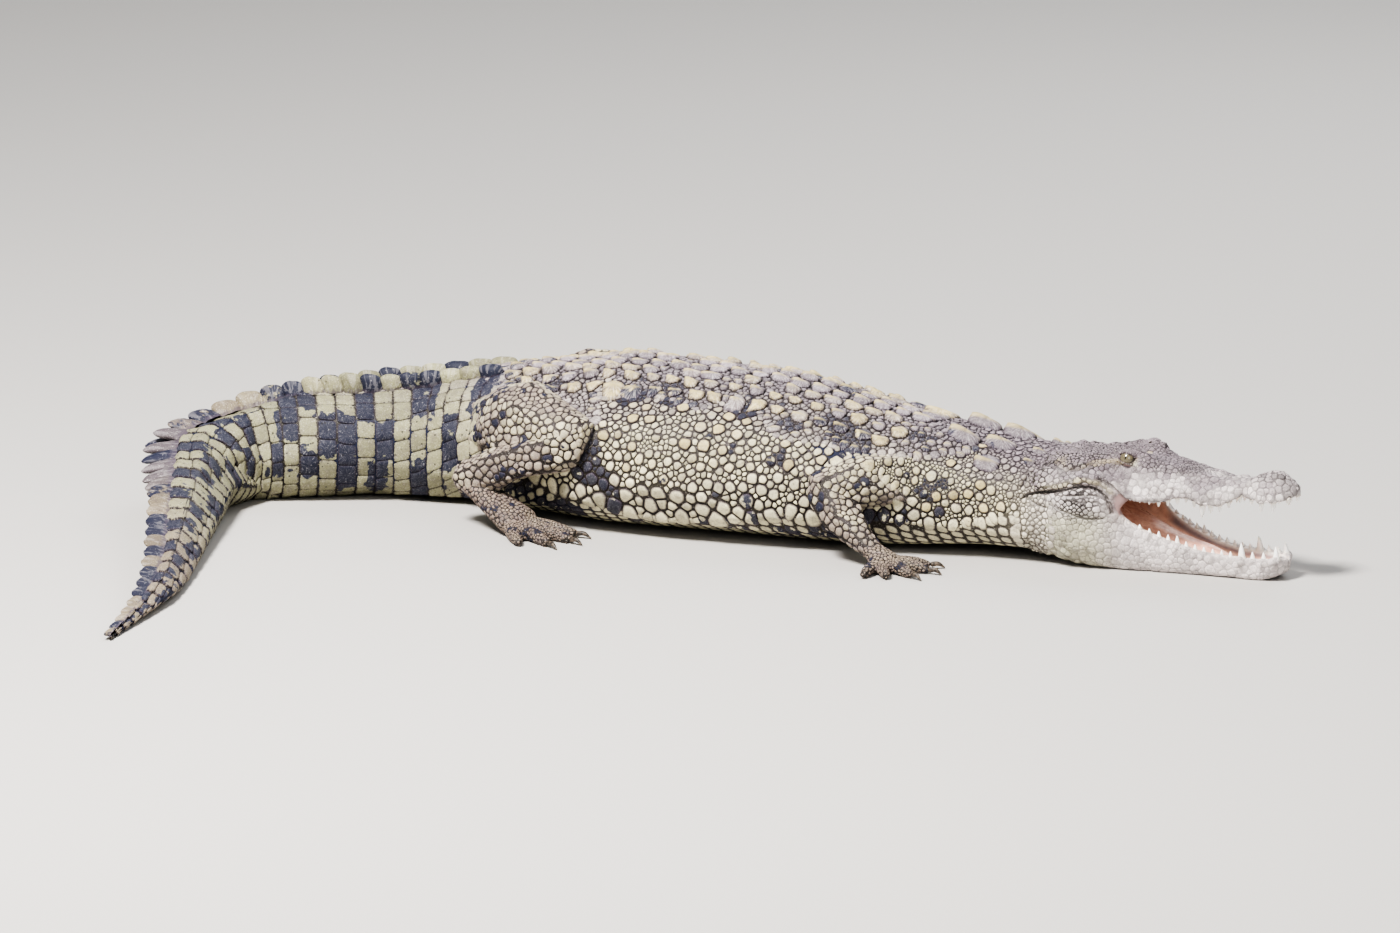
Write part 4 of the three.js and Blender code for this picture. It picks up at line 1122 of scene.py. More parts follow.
def body_tint(s, q, p):
    """The body's own colour by distance along and share of the way down, 0 on the back, 1 below."""
    t = s - VENT
    side = mixed(LILAC, CREAM, smooth((q - 0.16) / 0.26))
    side = mixed(side, THROAT, smooth((q - 0.62) / 0.2))
    nape = smooth(1 - s / 260) * (1 - smooth((q - 0.15) / 0.4))
    side = mixed(side, MAUVE, nape)
    side = mixed(side, CHALK, 0.6 * smooth(1 - s / 130) * smooth((q - 0.2) / 0.3))
    tail = mixed(OLIVE, TAN, smooth((t - 900) / 500))
    tail = mixed(tail, LILAC, 0.7 * (1 - smooth(q / 0.22)) * (1 - smooth((t - 150) / 300)))
    tint = mixed(side, tail, smooth((t + 170) / 260))
    tone_mottle = grain(p, 160, 21) * 0.6 + grain(p, 45, 22) * 0.4
    return tint * (0.86 + 0.26 * tone_mottle)[:, None]


def body_blot(s, q, p):
    """Where the body is blotched with blue-black, from 0 to 1."""
    t = s - VENT
    wave = s / 165 + 0.32 * grain(p, 70, 31) + 0.55 * q
    bars = smooth((np.cos(wave * 2 * math.pi) - 0.35) / 0.4)
    patch = smooth((grain(p, 52, 32) - 0.58) / 0.08)
    flank = patch * smooth((q - 0.14) / 0.1) * (1 - smooth((q - 0.62) / 0.2)) * smooth((s - 150) / 250)
    tail = np.clip(bars * 0.75 + patch * 0.5, 0, 1) * (1 - 0.75 * smooth((q - 0.72) / 0.2))
    return flank * (1 - smooth((t + 160) / 200)) + tail * smooth((t + 160) / 200)


# ---- The tail's whorls ----
# The tail is ringed with whorls of oblong plates with thin black seams. They shorten towards the tip,
# and blotched blocks stagger from row to row. The upper rows are bluntly keeled.
crest_pitch = profile(
    (-60, 48), (150, 44), (320, 40), (540, 38), (760, 50), (1000, 64), (1400, 68), (1700, 54), (TAIL, 36),
)
whorls, t = [], -64.0
while t < TAIL - 20:
    whorls.append(t)
    t += crest_pitch(t)
tail_coat, tail_end_coat = Coat("tail_scutes"), Coat("tail_end_scutes")
# The dark blocks at each level down the tail's right side, by the whorls they start and end at.
DARK_BLOCKS = [
    [(0.4, 1.5), (3.5, 5), (7, 8), (10, 12), (15, 16)],
    [(2, 3), (6, 7), (8, 10), (11, 12.4), (14, 15), (16, 17)],
    [(1, 2), (4, 5), (6.3, 7.5), (8, 9), (10, 11), (12, 13), (15, 16)],
]
for blocks, end_blocks in zip(DARK_BLOCKS, ((18, 21, 23), (19, 20.5, 24), (17.6, 22))):
    blocks += [(a + 5 * i, a + 5 * i + 1) for i in range(6) for a in end_blocks]


def tail_blot(s, b):
    """The tail's blotches, from 0 to 1: ragged dark blocks, each about a whorl long."""
    t, q = s - VENT, np.abs(b) / girth(s)
    where = on_body(s, b)
    w = np.interp(t, whorls, np.arange(len(whorls))) + 1.4 * (b > 0)
    wander = 0.10 * (grain(where, 34, 42) - 0.5) + 0.06 * (grain(where, 11, 43) - 0.5)
    ragged = 0.5 * (grain(where, 12, 45) - 0.5)
    dark = np.zeros(s.shape)
    for i, blocks in enumerate(DARK_BLOCKS):
        down = np.maximum(q + wander, 0.2 * (i == 0)) - 0.21 - 0.235 * i
        level = smooth((0.125 - np.abs(down)) / 0.02 + 0.5)
        for a, b in blocks:
            inside = (b - a) / 2 - np.abs(w - (a + b) / 2)
            dark = np.maximum(dark, level * smooth((inside + 0.14 * ragged) / 0.05 + 0.5))
    return 0.95 * dark + 0.24 * smooth((grain(where, 40, 42) - 0.6) / 0.2) * (1 - dark)


for w, t in enumerate(whorls):
    pitch, s = crest_pitch(t), VENT + t + crest_pitch(t) / 2
    if s > VENT + TAIL - 12:
        continue
    g = girth(s)
    rows = max(3, int(round(g / (42 + 12 * smooth((t - 700) / 200)))))
    k = np.tile(np.arange(rows), 2)
    side = np.repeat([-1, 1], rows)
    q = (k + 0.5) / rows
    s_row = np.full(len(k), s)
    where = on_body(s_row, side * q * g)
    paint = body_tint(s_row, q, where)
    coat = tail_coat if t < 1000 else tail_end_coat
    row_scales(
        coat, s_row, side * q * g, pitch / 2 - 0.9, g / rows / 2 - 0.25, 2.2, 0.9,
        np.where(q < 0.3, 2.4, np.where(q < 0.55, 0.8, 0.0)), paint, tail_blot, tilt=0.5, sides=24,
        dice=grain(where, 9, 43), square=8.0, rings=FLAT_RINGS,
    )

# ---- The belly ----
# Smooth square plates of pale horn run in straight rows from the throat to the vent, and show low on the
# flank. They lie flat in the skin with narrow dark seams between them.
belly_coat = Coat("belly_scutes")
BELLY_PITCH, BELLY_WIDE = 27.0, 25.0


def belly_reach(s):
    """How far up each side from the middle the belly's plates go."""
    return 200 + 80 * smooth((s - 200) / 300)


for i, s in enumerate(np.arange(70.0, VENT - 80, BELLY_PITCH)):
    g = girth(s)
    count = int(belly_reach(s) / BELLY_WIDE)
    from_middle = (np.arange(-count, count) + 0.5) * BELLY_WIDE
    side = np.sign(from_middle)
    b = side * (g - np.abs(from_middle))
    s_row = np.full(len(b), s) + 1.5 * side
    where = on_body(s_row, b)
    q = np.abs(b) / g
    paint = body_tint(s_row, q, where)
    blot = body_blot(s_row, q, where) * 0.7
    row_scales(belly_coat, s_row, b, BELLY_PITCH / 2 - 0.9, BELLY_WIDE / 2 - 0.9, 1.8, 0.5, 0.0, paint, blot,
               sides=12, rings=SMALL_RINGS, dice=grain(where, 9, 54), square=4.0)

# ---- The flanks and the neck ----
# Round and oval scales stand in rough lengthwise rows in a dark net, with small ones between them.
# They are fine behind the head and grow down the neck, where they end in big pale plates.
tri_fall = np.abs((math.pi / 2 - tri_angle + math.pi) % (2 * math.pi) - math.pi)
tri_share = np.zeros(len(tri_s))
is_body = tri_part == 0
share_table = np.array([np.interp(girth_fall, fall_at[i], SHARES) for i in range(len(girth_s))])
i_s = np.clip((tri_s[is_body] / GIRTH_STEP).astype(int), 0, len(girth_s) - 1)
i_a = np.clip(tri_fall[is_body] / math.pi * 90, 0, 89.999)
lower, upper = share_table[i_s, i_a.astype(int)], share_table[i_s, i_a.astype(int) + 1]
tri_share[is_body] = lower + (upper - lower) * (i_a % 1)
tri_share = np.where(is_body, tri_share, np.clip((232 - tri_centre[:, 2]) / 250, 0, 0.9))
tri_b = tri_share * girth(tri_s)
HEAD_FROM = 700.0
behind_head = (tri_part > 0) & (tri_part <= 2) & (straighten_head(tri_centre)[:, 0] < HEAD_FROM)
belly_from = belly_reach(tri_s)


def body_back(s):
    """The way back along the body."""
    return np.stack([np.cos(heading(s)), np.sin(heading(s)), np.zeros(len(s))], -1)


def rows_on_body(lines, from_s, to_s, step, size, jitter, seed):
    """Places for scales in lengthwise rows down both sides: point, normal, radius, distance and share."""
    dice = np.random.default_rng(seed)
    s, b = [], []
    for i, line in enumerate(lines):
        line_s = np.arange(from_s + step * 0.5 * (i % 2) * (jitter > 3), to_s, step)
        for side in (-1, 1):
            s.append(line_s + jitter * (dice.random(len(line_s)) - 0.5) * 2)
            b.append(side * (line + jitter * (dice.random(len(line_s)) - 0.5) * 1.4))
    s, b = np.concatenate(s), np.concatenate(b)
    base, normal = settle(on_body(s, b))
    keep = (np.linalg.norm(base - on_body(s, b), axis=1) < 12) & (np.abs(b) < girth(s) - 225)
    even = 1 - smooth((jitter - 2) / 4)
    r = size * (0.62 + 0.22 * even + (0.56 - 0.32 * even) * dice.random(len(s)))
    return [a[keep] for a in (base, normal, r, s, np.abs(b) / girth(s))]


def creased(place):
    """How deep in a crease a place on the head lies, from 0 to 1."""
    return np.max([near_fold(place, path, width * 0.85, min(depth / 5, 1))
                   for path, width, depth in CREASES], 0)


def crowd_on_body(coat, mask, rows, big, small, share_big, count, seed, height, keel=0.0, gap=0.13):
    """Fills a stretch of the body: scales in rows first, then loose big ones, and small ones between."""
    p, which = pick(mask, count, seed)
    dice = np.random.default_rng(seed + 1)
    s, share = tri_s[which], tri_share[which]
    is_big = np.arange(count) < count * 0.2
    r = np.where(is_big, big(s, share, p), small(s, share, p)) * (0.72 + 0.5 * dice.random(count))
    order = np.argsort(~is_big * 1e3 - r + dice.random(count) * 3.0)
    p, r, s, share, n, is_big = (a[order] for a in (p, r, s, share, tri_normal[which], is_big))
    loose = scatter(p[is_big], r[is_big], 0.84 + 0.5 * (1 - share_big))
    first = [a[is_big][loose] for a in (p, n, r, s, share)]
    rest = [a[~is_big] for a in (p, n, r, s, share)]
    p, n, r, s, share = (np.concatenate([*([a] if rows else []), b, c])
                         for a, b, c in zip(rows or first, first, rest))
    kept = scatter(p, r, 0.86)
    p, n, r, s, share = (a[kept] for a in (p, n, r, s, share))
    dice = np.random.default_rng(seed + 2)
    paint = body_tint(s, share, p) * (0.70 + 0.46 * dice.random(len(p)))[:, None]
    ochre = 0.95 * smooth((r - 9) / 4) * smooth((share - 0.03) / 0.1) * smooth(dice.random(len(p)) * 1.3)
    paint = mixed(paint, OCHRE, ochre * (share < 0.5))
    # Painted shade: the neck's scales that lie in the head's creases are painted darker.
    folded = creased(straighten_head(p)) * (s < 60)
    paint *= 1 - 0.8 * folded[:, None]
    blot = np.clip(body_blot(s, share, p) + 0.65 * (dice.random(len(p)) < 0.03) * (r > 5) * (s > 150), 0, 1)
    side = np.sign(((p - spine(s)[0]) * spine(s)[1]).sum(1))
    place = body_pattern(s, side * share * girth(s))
    keels = keel * np.clip((r - 9) / 9, 0, 1) * (share < 0.42) * (0.6 + 0.7 * dice.random(len(p)))
    crowd(coat, p, n, r, body_back(s), height * np.clip(r / 9, 0.4, 1.3), paint, blot, place,
          gap=np.clip(r * gap * 1.5, 0.5, 1.1)[:, None], dome=0.5, keel=keels,
          etch=0.45 + 0.55 * smooth(s / 140), loose=2.3)


# Keeled bony plates lie across the back in rows of eight, with beads in the dark skin between them.
back_coat, flank_coat, neck_coat = Coat("back_scutes"), Coat("flank_scales"), Coat("neck_scales")
BACK_FROM, BACK_WIDE, NECK_END = 330, 186, 380
on_back = is_body & (tri_s > BACK_FROM) & (tri_s < VENT - 44) & (tri_b <= BACK_WIDE)
plates = rows_on_body([21, 63], 345, VENT - 60, step=46.0, size=24.0, jitter=2.0, seed=51)
outer = rows_on_body([107, 150], 360, VENT - 60, step=47.0, size=20.5, jitter=4.0, seed=52)
crowd_on_body(back_coat, on_back, [np.concatenate(pair) for pair in zip(plates, outer)],
              lambda s, q, p: 9 + 0 * s, lambda s, q, p: 3.6 + 3.0 * grain(p, 50, 66),
              share_big=0.8, count=16000, seed=60, height=3.0, keel=8.5, gap=0.09)

# Ovals stand in rough rows down the flanks among beads, and squarer pale plates lie below them.
on_trunk = is_body & (tri_s > NECK_END) & (tri_s < VENT - 40) & (tri_b > BACK_WIDE)
on_trunk &= tri_b < girth(tri_s) - belly_from
ovals = rows_on_body([204, 242, 282], 400, VENT - 60, step=38.0, size=13.5, jitter=7.0, seed=53)
crowd_on_body(flank_coat, on_trunk, ovals,
              lambda s, q, p: 8.5 + 6.5 * smooth((q - 0.42) / 0.2),
              lambda s, q, p: 3.4 + 3.4 * grain(p, 60, 61) + 5.0 * smooth((q - 0.48) / 0.15),
              share_big=0.75, count=26000, seed=80, height=2.5, keel=3.0, gap=0.12)
above_belly = tri_b < girth(tri_s) - belly_from * smooth((tri_s - 60) / 12)
on_neck = (is_body | behind_head) & (tri_s <= NECK_END) & above_belly & ~on_back
neck_rows = rows_on_body([70, 112, 150, 190], 190, 330, step=44.0, size=12.5, jitter=7.0, seed=54)
crowd_on_body(neck_coat, on_neck, neck_rows,
              lambda s, q, p: (5.0 + 3.0 * smooth(s / 160)
                               + 4.0 * smooth((q - 0.3) / 0.3) * smooth((s - 10) / 120)),
              lambda s, q, p: 2.6 + 1.4 * grain(p, 50, 67) + 3.2 * smooth((q - 0.45) / 0.2) * smooth(s / 150),
              share_big=0.7, count=34000, seed=90, height=2.2, keel=3.5, gap=0.13)

# ---- The limbs ----
# The legs are covered with granular scales of thin horn that crowd each other on the loose skin. They are
# finer on the feet and finest on the digits.
def thinned(p, which, r, shuffle):
    """The scales that find room when, by and large, the bigger ones are placed first."""
    order = np.argsort(-r + shuffle)
    kept = order[scatter(p[order], r[order])]
    return p[kept], which[kept], r[kept]


limb_coat = Coat("limb_scales")
for part in range(3, len(PARTS)):
    name = PARTS[part]
    side = int(name.rsplit("_", 1)[1])
    rod = limbs[side][0][name.rsplit("_", 1)[0]]
    mask = tri_part == part
    if not mask.any():
        continue
    toe, palm = "toe" in name, "palm" in name
    p, which = pick(mask, 900 if toe else 2600 if palm else 5200, 100 + part)
    dice = np.random.default_rng(200 + part)
    big = 3.0 if toe else 4.2 if palm else 7.6
    r = big * (0.75 + 0.55 * grain(p, 40, 62)) * (0.8 + 0.4 * dice.random(len(p)))
    p, which, r = thinned(p, which, r, dice.random(len(p)) * 2.5)
    n = tri_normal[which]
    along = rod.at(np.clip(tri_s[which], 0, 1))[1]
    tint = mixed(LEG, FOOT, 1.0 if toe or palm else 0.15)
    tint = mixed(tint, CREAM, 0.6 * smooth((grain(p, 60, 63) - 0.4) / 0.3) * (0.2 if toe or palm else 1))
    paint = tint * (0.8 + 0.3 * dice.random(len(p)))[:, None]
    blot = 0.75 * smooth((grain(p, 34, 64) - 0.66) / 0.1) * (dice.random(len(p)) < 0.7)
    x0, y0, w, h = PATTERN[name]
    place = np.array([x0, y0]) + tri_place[which] * (w, h)
    crowd(limb_coat, p, n, r, along, 1.5 * np.clip(r / 7, 0.4, 1.2), paint, blot, place,
          gap=np.clip(r * 0.16, 0.5, 1.2)[:, None], dome=0.5, spread=0.00012, loose=2.2)

# ---- The head's plates ----
# The head has no separate scales on top, but a chalky skin cracked into low plates. Below the crease
# the jaw muscle bears small pebbled scales.
tri_straight = straighten_head(tri_centre)
tx, ty, tz = tri_straight[:, 0], np.abs(tri_straight[:, 1]), tri_straight[:, 2]
tri_folded = np.column_stack([tx, ty, tz])
tri_head_normal = straighten_head(tri_normal + NECK_AT) - (HEAD_BACK, 0, 0)


def mouth_lining(x, y, z, up):
    """Where the mouth's wet lining is, from 0 to 1: the palate, the floor and the jaws' inner faces."""
    low = smooth((inner_jaw(x) + 5 - y) / 5) * smooth((x - 776) / 10)
    low = low * (z > mouth_floor(x) - 6) * (z < lip_height(x) + 4)
    rim = smooth((z - gum_height(x) + 5) / 3) * smooth((jaw_width(x) - 5 - y) / 4) * smooth((up - 0.35) / 0.3)
    low = np.maximum(low, rim * (x > 862) * (z < gum_height(x) + 8))
    palate = smooth((-up - 0.35) / 0.3) * smooth((lip_width(x) - 4 - y) / 4) * (z > lip_height(x) - 3)
    corner = smooth((x - 862) / 6) * smooth((898 - x) / 10) * (y < jaw_width(x) - 3)
    corner = corner * (z < lip_height(x) + 2) * (z > gum_height(x) - 4)
    return np.clip(np.maximum(np.maximum(low, palate * (x > 868)), corner), 0, 1)


COLOR_FROM = 640  # how far back the head's own colours are needed
WEB = ((868, 142), (15, 30))  # the stretched skin in the corner of the mouth, seen from the side


def head_tint(x, y, z, p):
    """The head's colour at a place on its folded half, and at the same place in space, with painted shade in
    its creases and, on its left half, in the hollows between its lumps.
    """
    place = np.column_stack([x, y, z])
    top = z - 188 + 12 * smooth((x - 950) / 150) + 46 * (grain(place, 22, 76) - 0.5)
    chalk = mixed(CHALK, MAUVE * 0.78, smooth(top / 30) * (1 - 0.5 * smooth((x - 960) / 120)))
    side = place[:, ::2]
    flap, lower_lid = (near_path(place, RIDGES[i][0], 4) for i in (-2, -1))
    for color, amount in (
        (MAUVE, 0.6 * smooth((grain(place, 34, 74) - 0.52) / 0.2) * smooth((z - 120) / 70)),
        (THROAT * 0.94, 0.75 * smooth((150 - z) / 60) * smooth((890 - x) / 90)),
        (srgb(146, 138, 132), 0.55 * near(side, (722, 188), (46, 30))),  # behind the crease
        (srgb(158, 152, 150), 0.3 * near(side, (785, 142), (66, 24))),  # the jaw's pad
        # Painted shade: the ear's groove under its flap is painted darker.
        (srgb(150, 140, 146), 0.5 * near(side, (760, 200), (70, 12))),  # the ear's groove
        (srgb(206, 196, 152), 0.6 * near_path(place, RIDGES[-3][0], 5)),
        (srgb(196, 180, 140), 0.6 * np.maximum(flap, lower_lid)),
        (srgb(134, 112, 112), 0.95 * near(side, *WEB)),
        (srgb(232, 224, 200), 0.9 * near(place, (888, 67, 221), (7, 10, 5))),  # the eye's front corner
    ):
        chalk = mixed(chalk, color, amount)
    # Painted shade: the creases, over the jaw, behind the skull, round the ear, under the brow and in the
    # lips' folds, are painted darker the deeper they are. The dark specks added next are the skin's own
    # marks.
    crease_shade_and_specks = creased(place)
    # The coarse grain is the one the head's lumps are sculpted with, so on the left half, where the two line
    # up, the hollows between the lumps are painted darker and the lumps' tops paler: painted shade and light.
    # The finer grain and the specks are the skin's own mottle.
    lumps, specks = grain(place, 30, 71), grain(p, 5, 75)
    tone_mottle = lumps * 0.45 + grain(p, 14, 72) * 0.35 + specks * 0.2
    crease_shade_and_specks = np.maximum(crease_shade_and_specks, 0.5 * smooth((specks - 0.72) / 0.1) * smooth((z - 150) / 50))
    crease_shade_and_specks = np.maximum(crease_shade_and_specks, 0.45 * smooth((grain(place, 9, 77) - 0.76) / 0.1) * smooth((870 - x) / 60))
    return chalk * ((0.42 + 0.94 * tone_mottle) * (1 - 0.85 * crease_shade_and_specks))[:, None]


def head_etch(x, z, jaw):
    """How strongly the seams show: on the jaw's pad and the neck, less on the lips, hardly on the jaw."""
    pad = near(np.column_stack([x, z]), (788, 138), (66, 34)) * jaw
    lips = 0.16 * (1 - jaw) * smooth((x - 860) / 30)
    temple = 0.5 * smooth((850 - x) / 50) * smooth((z - 150) / 20)
    neck, top = 0.9 * smooth((740 - x) / 60), 0.4 * smooth((z - 200) / 14)
    return np.clip(0.12 + 0.9 * pad + temple + neck + lips + top, 0, 1)


lining = mouth_lining(tx, ty, tz, tri_head_normal[:, 2])
eye_gap = np.linalg.norm(tri_folded - EYE_AT, axis=1)
nostril_gap = np.linalg.norm(tri_folded - NOSTRIL_AT, axis=1)
tri_crease = np.zeros(len(tx))
near_head = np.nonzero(tx > COLOR_FROM)[0]
tri_crease[near_head] = creased(tri_folded[near_head])
tri_web = near(tri_folded[:, ::2], *WEB) * (tz > 110)
is_plated = (tri_part > 0) & (tri_part <= 2) & (tx >= HEAD_FROM) & (lining < 0.2) & (eye_gap > 20.8)
is_plated &= (nostril_gap > 11) & (tri_crease < 0.7) & (tri_web < 0.55)
head_coat = Coat("head_plates")
p, which = pick(is_plated, 36000, 300)
dice = np.random.default_rng(301)
hx, hy, hz = tx[which], ty[which], tz[which]
low = head_etch(hx, hz, tri_part[which] == 2)
r = (6.4 - 1.8 * smooth((hz - 200) / 20) - 1.4 * low) * (0.5 + 1.0 * grain(p, 24, 73))
r *= 0.7 + 0.6 * dice.random(len(p))
r *= 0.42 + 0.58 * smooth((eye_gap[which] - 24) / 22)
p, which, r = thinned(p, which, r, dice.random(len(p)) * 2.2)
hx, hy, hz = tx[which], ty[which], tz[which]
low = head_etch(hx, hz, tri_part[which] == 2)
# The plates take the head's paint, with its painted shade in the creases and the lumps' hollows.
paint = head_tint(hx, hy, hz, p) * (0.94 + (0.06 + 0.16 * low) * dice.random(len(p)))[:, None]
blot = np.zeros(len(p))
names = np.array([PATTERN[PARTS[k]] for k in range(3)])[tri_part[which]]
place = names[:, :2] + tri_place[which] * names[:, 2:]
forward = np.tile([-math.cos(math.radians(HEAD_TURN)), -math.sin(math.radians(HEAD_TURN)), 0], (len(p), 1))
crowd(head_coat, p, tri_normal[which], r, forward, 0.36 + 0.7 * low, paint, blot, place,
      gap=(0.15 + 0.5 * low)[:, None], dome=0.08, spread=0.0002, etch=0.12 + 0.88 * low,
      loose=np.where((tri_crease[which] > 0.5) | (tri_web[which] > 0.3), 1.0, 2.6), mixed_shades=0.35)


# ---- The crest ----
# Tall horny blades stand on the tail, one to a whorl: two rows that draw together past the bend and
# go on as one. Each is a lens-shaped blade that leans back, thick at its foot.
crest_height = profile(
    (-60, 18), (60, 25), (260, 31), (560, 38), (640, 58), (800, 64), (900, 50), (1000, 42), (1300, 38),
    (TAIL, 8),
)
crest_narrow = profile((0, 0.04), (560, 0.06), (640, 0.30), (820, 0.30), (900, 0.04), (1500, 0.04))
crest_lean = profile((0, 0.14), (540, 0.22), (640, 0.45), (840, 0.5), (960, 0.34), (1500, 0.3))
crest_thick = profile((0, 36), (540, 30), (640, 24), (840, 22), (1500, 13))
crest_roll = profile((0, 0), (480, 0.0), (620, 0.6), (840, 0.85), (1000, 0.45), (1500, 0.2))
crest_long = profile((0, 1.2), (540, 1.15), (640, 1.0), (820, 1.0), (920, 1.25), (1500, 1.2))
MERGE = 650.0
crest = Coat("tail_crest")
BLADE_SIDES = 18


def grow_blade(coat, s, side, length, height, thick, paint, blot, dice):
    """One blade: rings stacked up its height, each an oval from its front edge to its back edge."""
    q = np.array([-0.16, 0.06, 0.28, 0.5, 0.68, 0.82, 0.91, 0.965, 0.993])
    up_share = np.clip(q, 0, 1)
    t = s - VENT
    angle = np.arange(BLADE_SIDES) * 2 * math.pi / BLADE_SIDES
    half = 0.5 * (1 - crest_narrow(t) * smooth(up_share / 0.35)) * (1 - up_share**5) ** 0.5
    middle = crest_lean(t) * up_share**1.3 - 0.02
    x = (middle[:, None] + half[:, None] * np.cos(angle)) * length
    w = np.sin(angle) * (thick / 2) * ((1 - 0.2 * up_share) * (1 - up_share**4) ** 0.5)[:, None]
    w = w * (1 + 0.10 * np.sin(7 * angle + dice * 20))
    z = q[:, None] * height + 0.04 * height * np.cos(angle) * up_share[:, None]
    s_here = s + x
    _, out, up = spine(s_here)
    turn = side + crest_roll(t)
    lift = up * math.cos(turn) + out * math.sin(turn)
    across = out * math.cos(turn) - up * math.sin(turn)
    foot = body_point(s_here, math.pi / 2 - side, COAT + 3)
    made = foot + lift * z[..., None] + across * w[..., None]
    tip = made[-1].mean(0) + lift[-1].mean(0) * height * 0.02
    made = np.vstack([made.reshape(-1, 3), tip[None]])
    made[:, 2] = np.maximum(made[:, 2], 0.2)
    per = len(made)
    cross = np.cross(lift[0, 0], across[0, 0])
    flip = cross @ (spine(np.array([s + 1.0]))[0][0] - spine(np.array([s]))[0][0]) > 0
    tall = np.concatenate([np.repeat(up_share, BLADE_SIDES), [1.0]])
    along = np.concatenate([(x / length).ravel(), [0.2]])
    share = math.sin(side) * 0.2
    here = body_pattern(np.full(per, s), np.full(per, share * girth(s) * 0.3))
    # The foot of each blade gets a high rim share, so the finish's band of painted shade darkens it towards
    # the tail.
    coat.add_cone(made, BLADE_SIDES, flip, paint, (0.35 + 0.6 * (1 - tall) ** 3, dice, tall, blot),
                  np.column_stack([along, 1.4 + tall * 0.9]), here, 1 - 0.85 * up_share, 0.005)


dice = np.random.default_rng(400)
for w, t in enumerate(whorls[:-1]):
    if t < -45 or t > TAIL - 26:
        continue
    s, pitch = VENT + t, crest_pitch(t)
    apart = 0.10 * (1 - smooth(t / MERGE)) + 0.14
    for side in ([-apart, apart] if t < MERGE else [0.0]):
        tan = mixed(OLIVE, TAN, smooth((t - 300) / 300))
        tan = mixed(tan, MAUVE * 0.36, smooth((t - 560) / 80) * (1 - smooth((t - 860) / 120)))
        tone = tan * (0.85 + 0.3 * dice.random())
        blot = tail_blot(np.array([s]), np.array([side * 40.0 - 1.0]))[0]
        long = pitch * (crest_long(t) + 0.1 * dice.random())
        tall = crest_height(t) * (0.94 + 0.1 * dice.random())
        grow_blade(crest, s, side, long, tall, crest_thick(t), tone, blot, dice.random())

# ---- The nape's shields ----
# Six big keeled shields stand on the nape, four in a square and one at each side, with four small ones
# in a row behind the skull.
shields = Coat("nape_shields")
for s, sides_at, length, height in [
    (HEAD_BACK - 566, (-0.24, 0.24, -0.74, 0.74), 76, 22),
    (HEAD_BACK - 484, (-0.25, 0.25), 78, 24),
    (HEAD_BACK - 656, (-0.26, 0.26, -0.6, 0.6), 34, 12),
]:
    angles = np.array(sides_at)
    s_row = np.full(len(angles), float(s))
    i = int(s / GIRTH_STEP)
    b = np.sign(angles) * np.interp(np.abs(angles), fall_at[i], SHARES) * girth(s_row)
    where = on_body(s_row, b)
    outer = np.abs(angles) > 0.5
    wide = np.where(outer, 0.30, 0.36) * length
    half = np.where(outer, 0.40, 0.5) * length
    paint = mixed(LILAC * 0.56, CHALK, 0.12 * grain(where, 40, 55))
    row_scales(shields, s_row, b, half, wide, 0.34 * height, 0.1 * height, 0.6 * height, paint, 0.12,
               sides=28, rings=[(1.0, -0.5), (0.96, 0.3), (0.85, 0.7), (0.62, 0.92), (0.34, 1.0)],
               tilt=0.35, dice=grain(where, 9, 56), square=2.6)

# ---- The scales' finish ----
# Dry horn: chalky and mottled, with a band of painted shade round the rim, finely pitted and cracked,
# with blue-black blotches that have pale specks in them.
def node(tree, kind, sockets=None, **settings):
    made = tree.nodes.new("ShaderNode" + kind)
    for key, value in settings.items():
        setattr(made, key, value)
    for key, value in (sockets or {}).items():
        if isinstance(value, bpy.types.NodeSocket):
            tree.links.new(value, made.inputs[key])
        else:
            made.inputs[key].default_value = value
    return made.outputs


def blend(tree, a, b, share, kind="MIX"):
    return node(tree, "Mix", {0: share, 6: a, 7: b}, data_type="RGBA", blend_type=kind)[2]


def calc(tree, kind, a, b=0.5, c=0.0, clamp=False):
    sockets = {0: a, 1: b}
    if kind == "MULTIPLY_ADD":
        sockets[2] = c
    return node(tree, "Math", sockets, operation=kind, use_clamp=clamp)[0]


def ramp(tree, value, low, high, out_low=0.0, out_high=1.0):
    return node(tree, "MapRange", {0: value, 1: low, 2: high, 3: out_low, 4: out_high},
                interpolation_type="SMOOTHSTEP")[0]


def times(tree, a, b):
    return calc(tree, "MULTIPLY", a, b)


def noise(tree, at, scale, detail, roughness=0.5, distortion=0.0):
    return node(tree, "TexNoise", {"Vector": at, "Scale": scale, "Detail": detail, "Roughness": roughness,
                                   "Distortion": distortion})[0]


def combine(tree, x, y, z=0.0):
    return node(tree, "CombineXYZ", {0: x, 1: y, 2: z})[0]


def dress(tree, shader, color, roughness, height, relief, depth):
    """Gives a shader its colour and roughness, and raises its surface by a height."""
    bump = node(tree, "Bump", {"Height": height, "Strength": relief, "Distance": depth})[0]
    for socket, value in (("Base Color", color), ("Roughness", roughness), ("Normal", bump)):
        tree.links.new(value, shader.inputs[socket])


def effect(name, inputs, outputs):
    """A shader group with its named inputs and outputs."""
    group = bpy.data.node_groups.new(name, "ShaderNodeTree")
    for way, sockets in (("INPUT", inputs), ("OUTPUT", outputs)):
        for label, kind in sockets.items():
            group.interface.new_socket(label, in_out=way, socket_type="NodeSocket" + kind)
    return group, group.nodes.new("NodeGroupInput").outputs, group.nodes.new("NodeGroupOutput")


def place_effect(tree, group, sockets):
    return node(tree, "Group", sockets, node_tree=group)


def rgba(*levels):
    return (*srgb(*levels), 1.0)


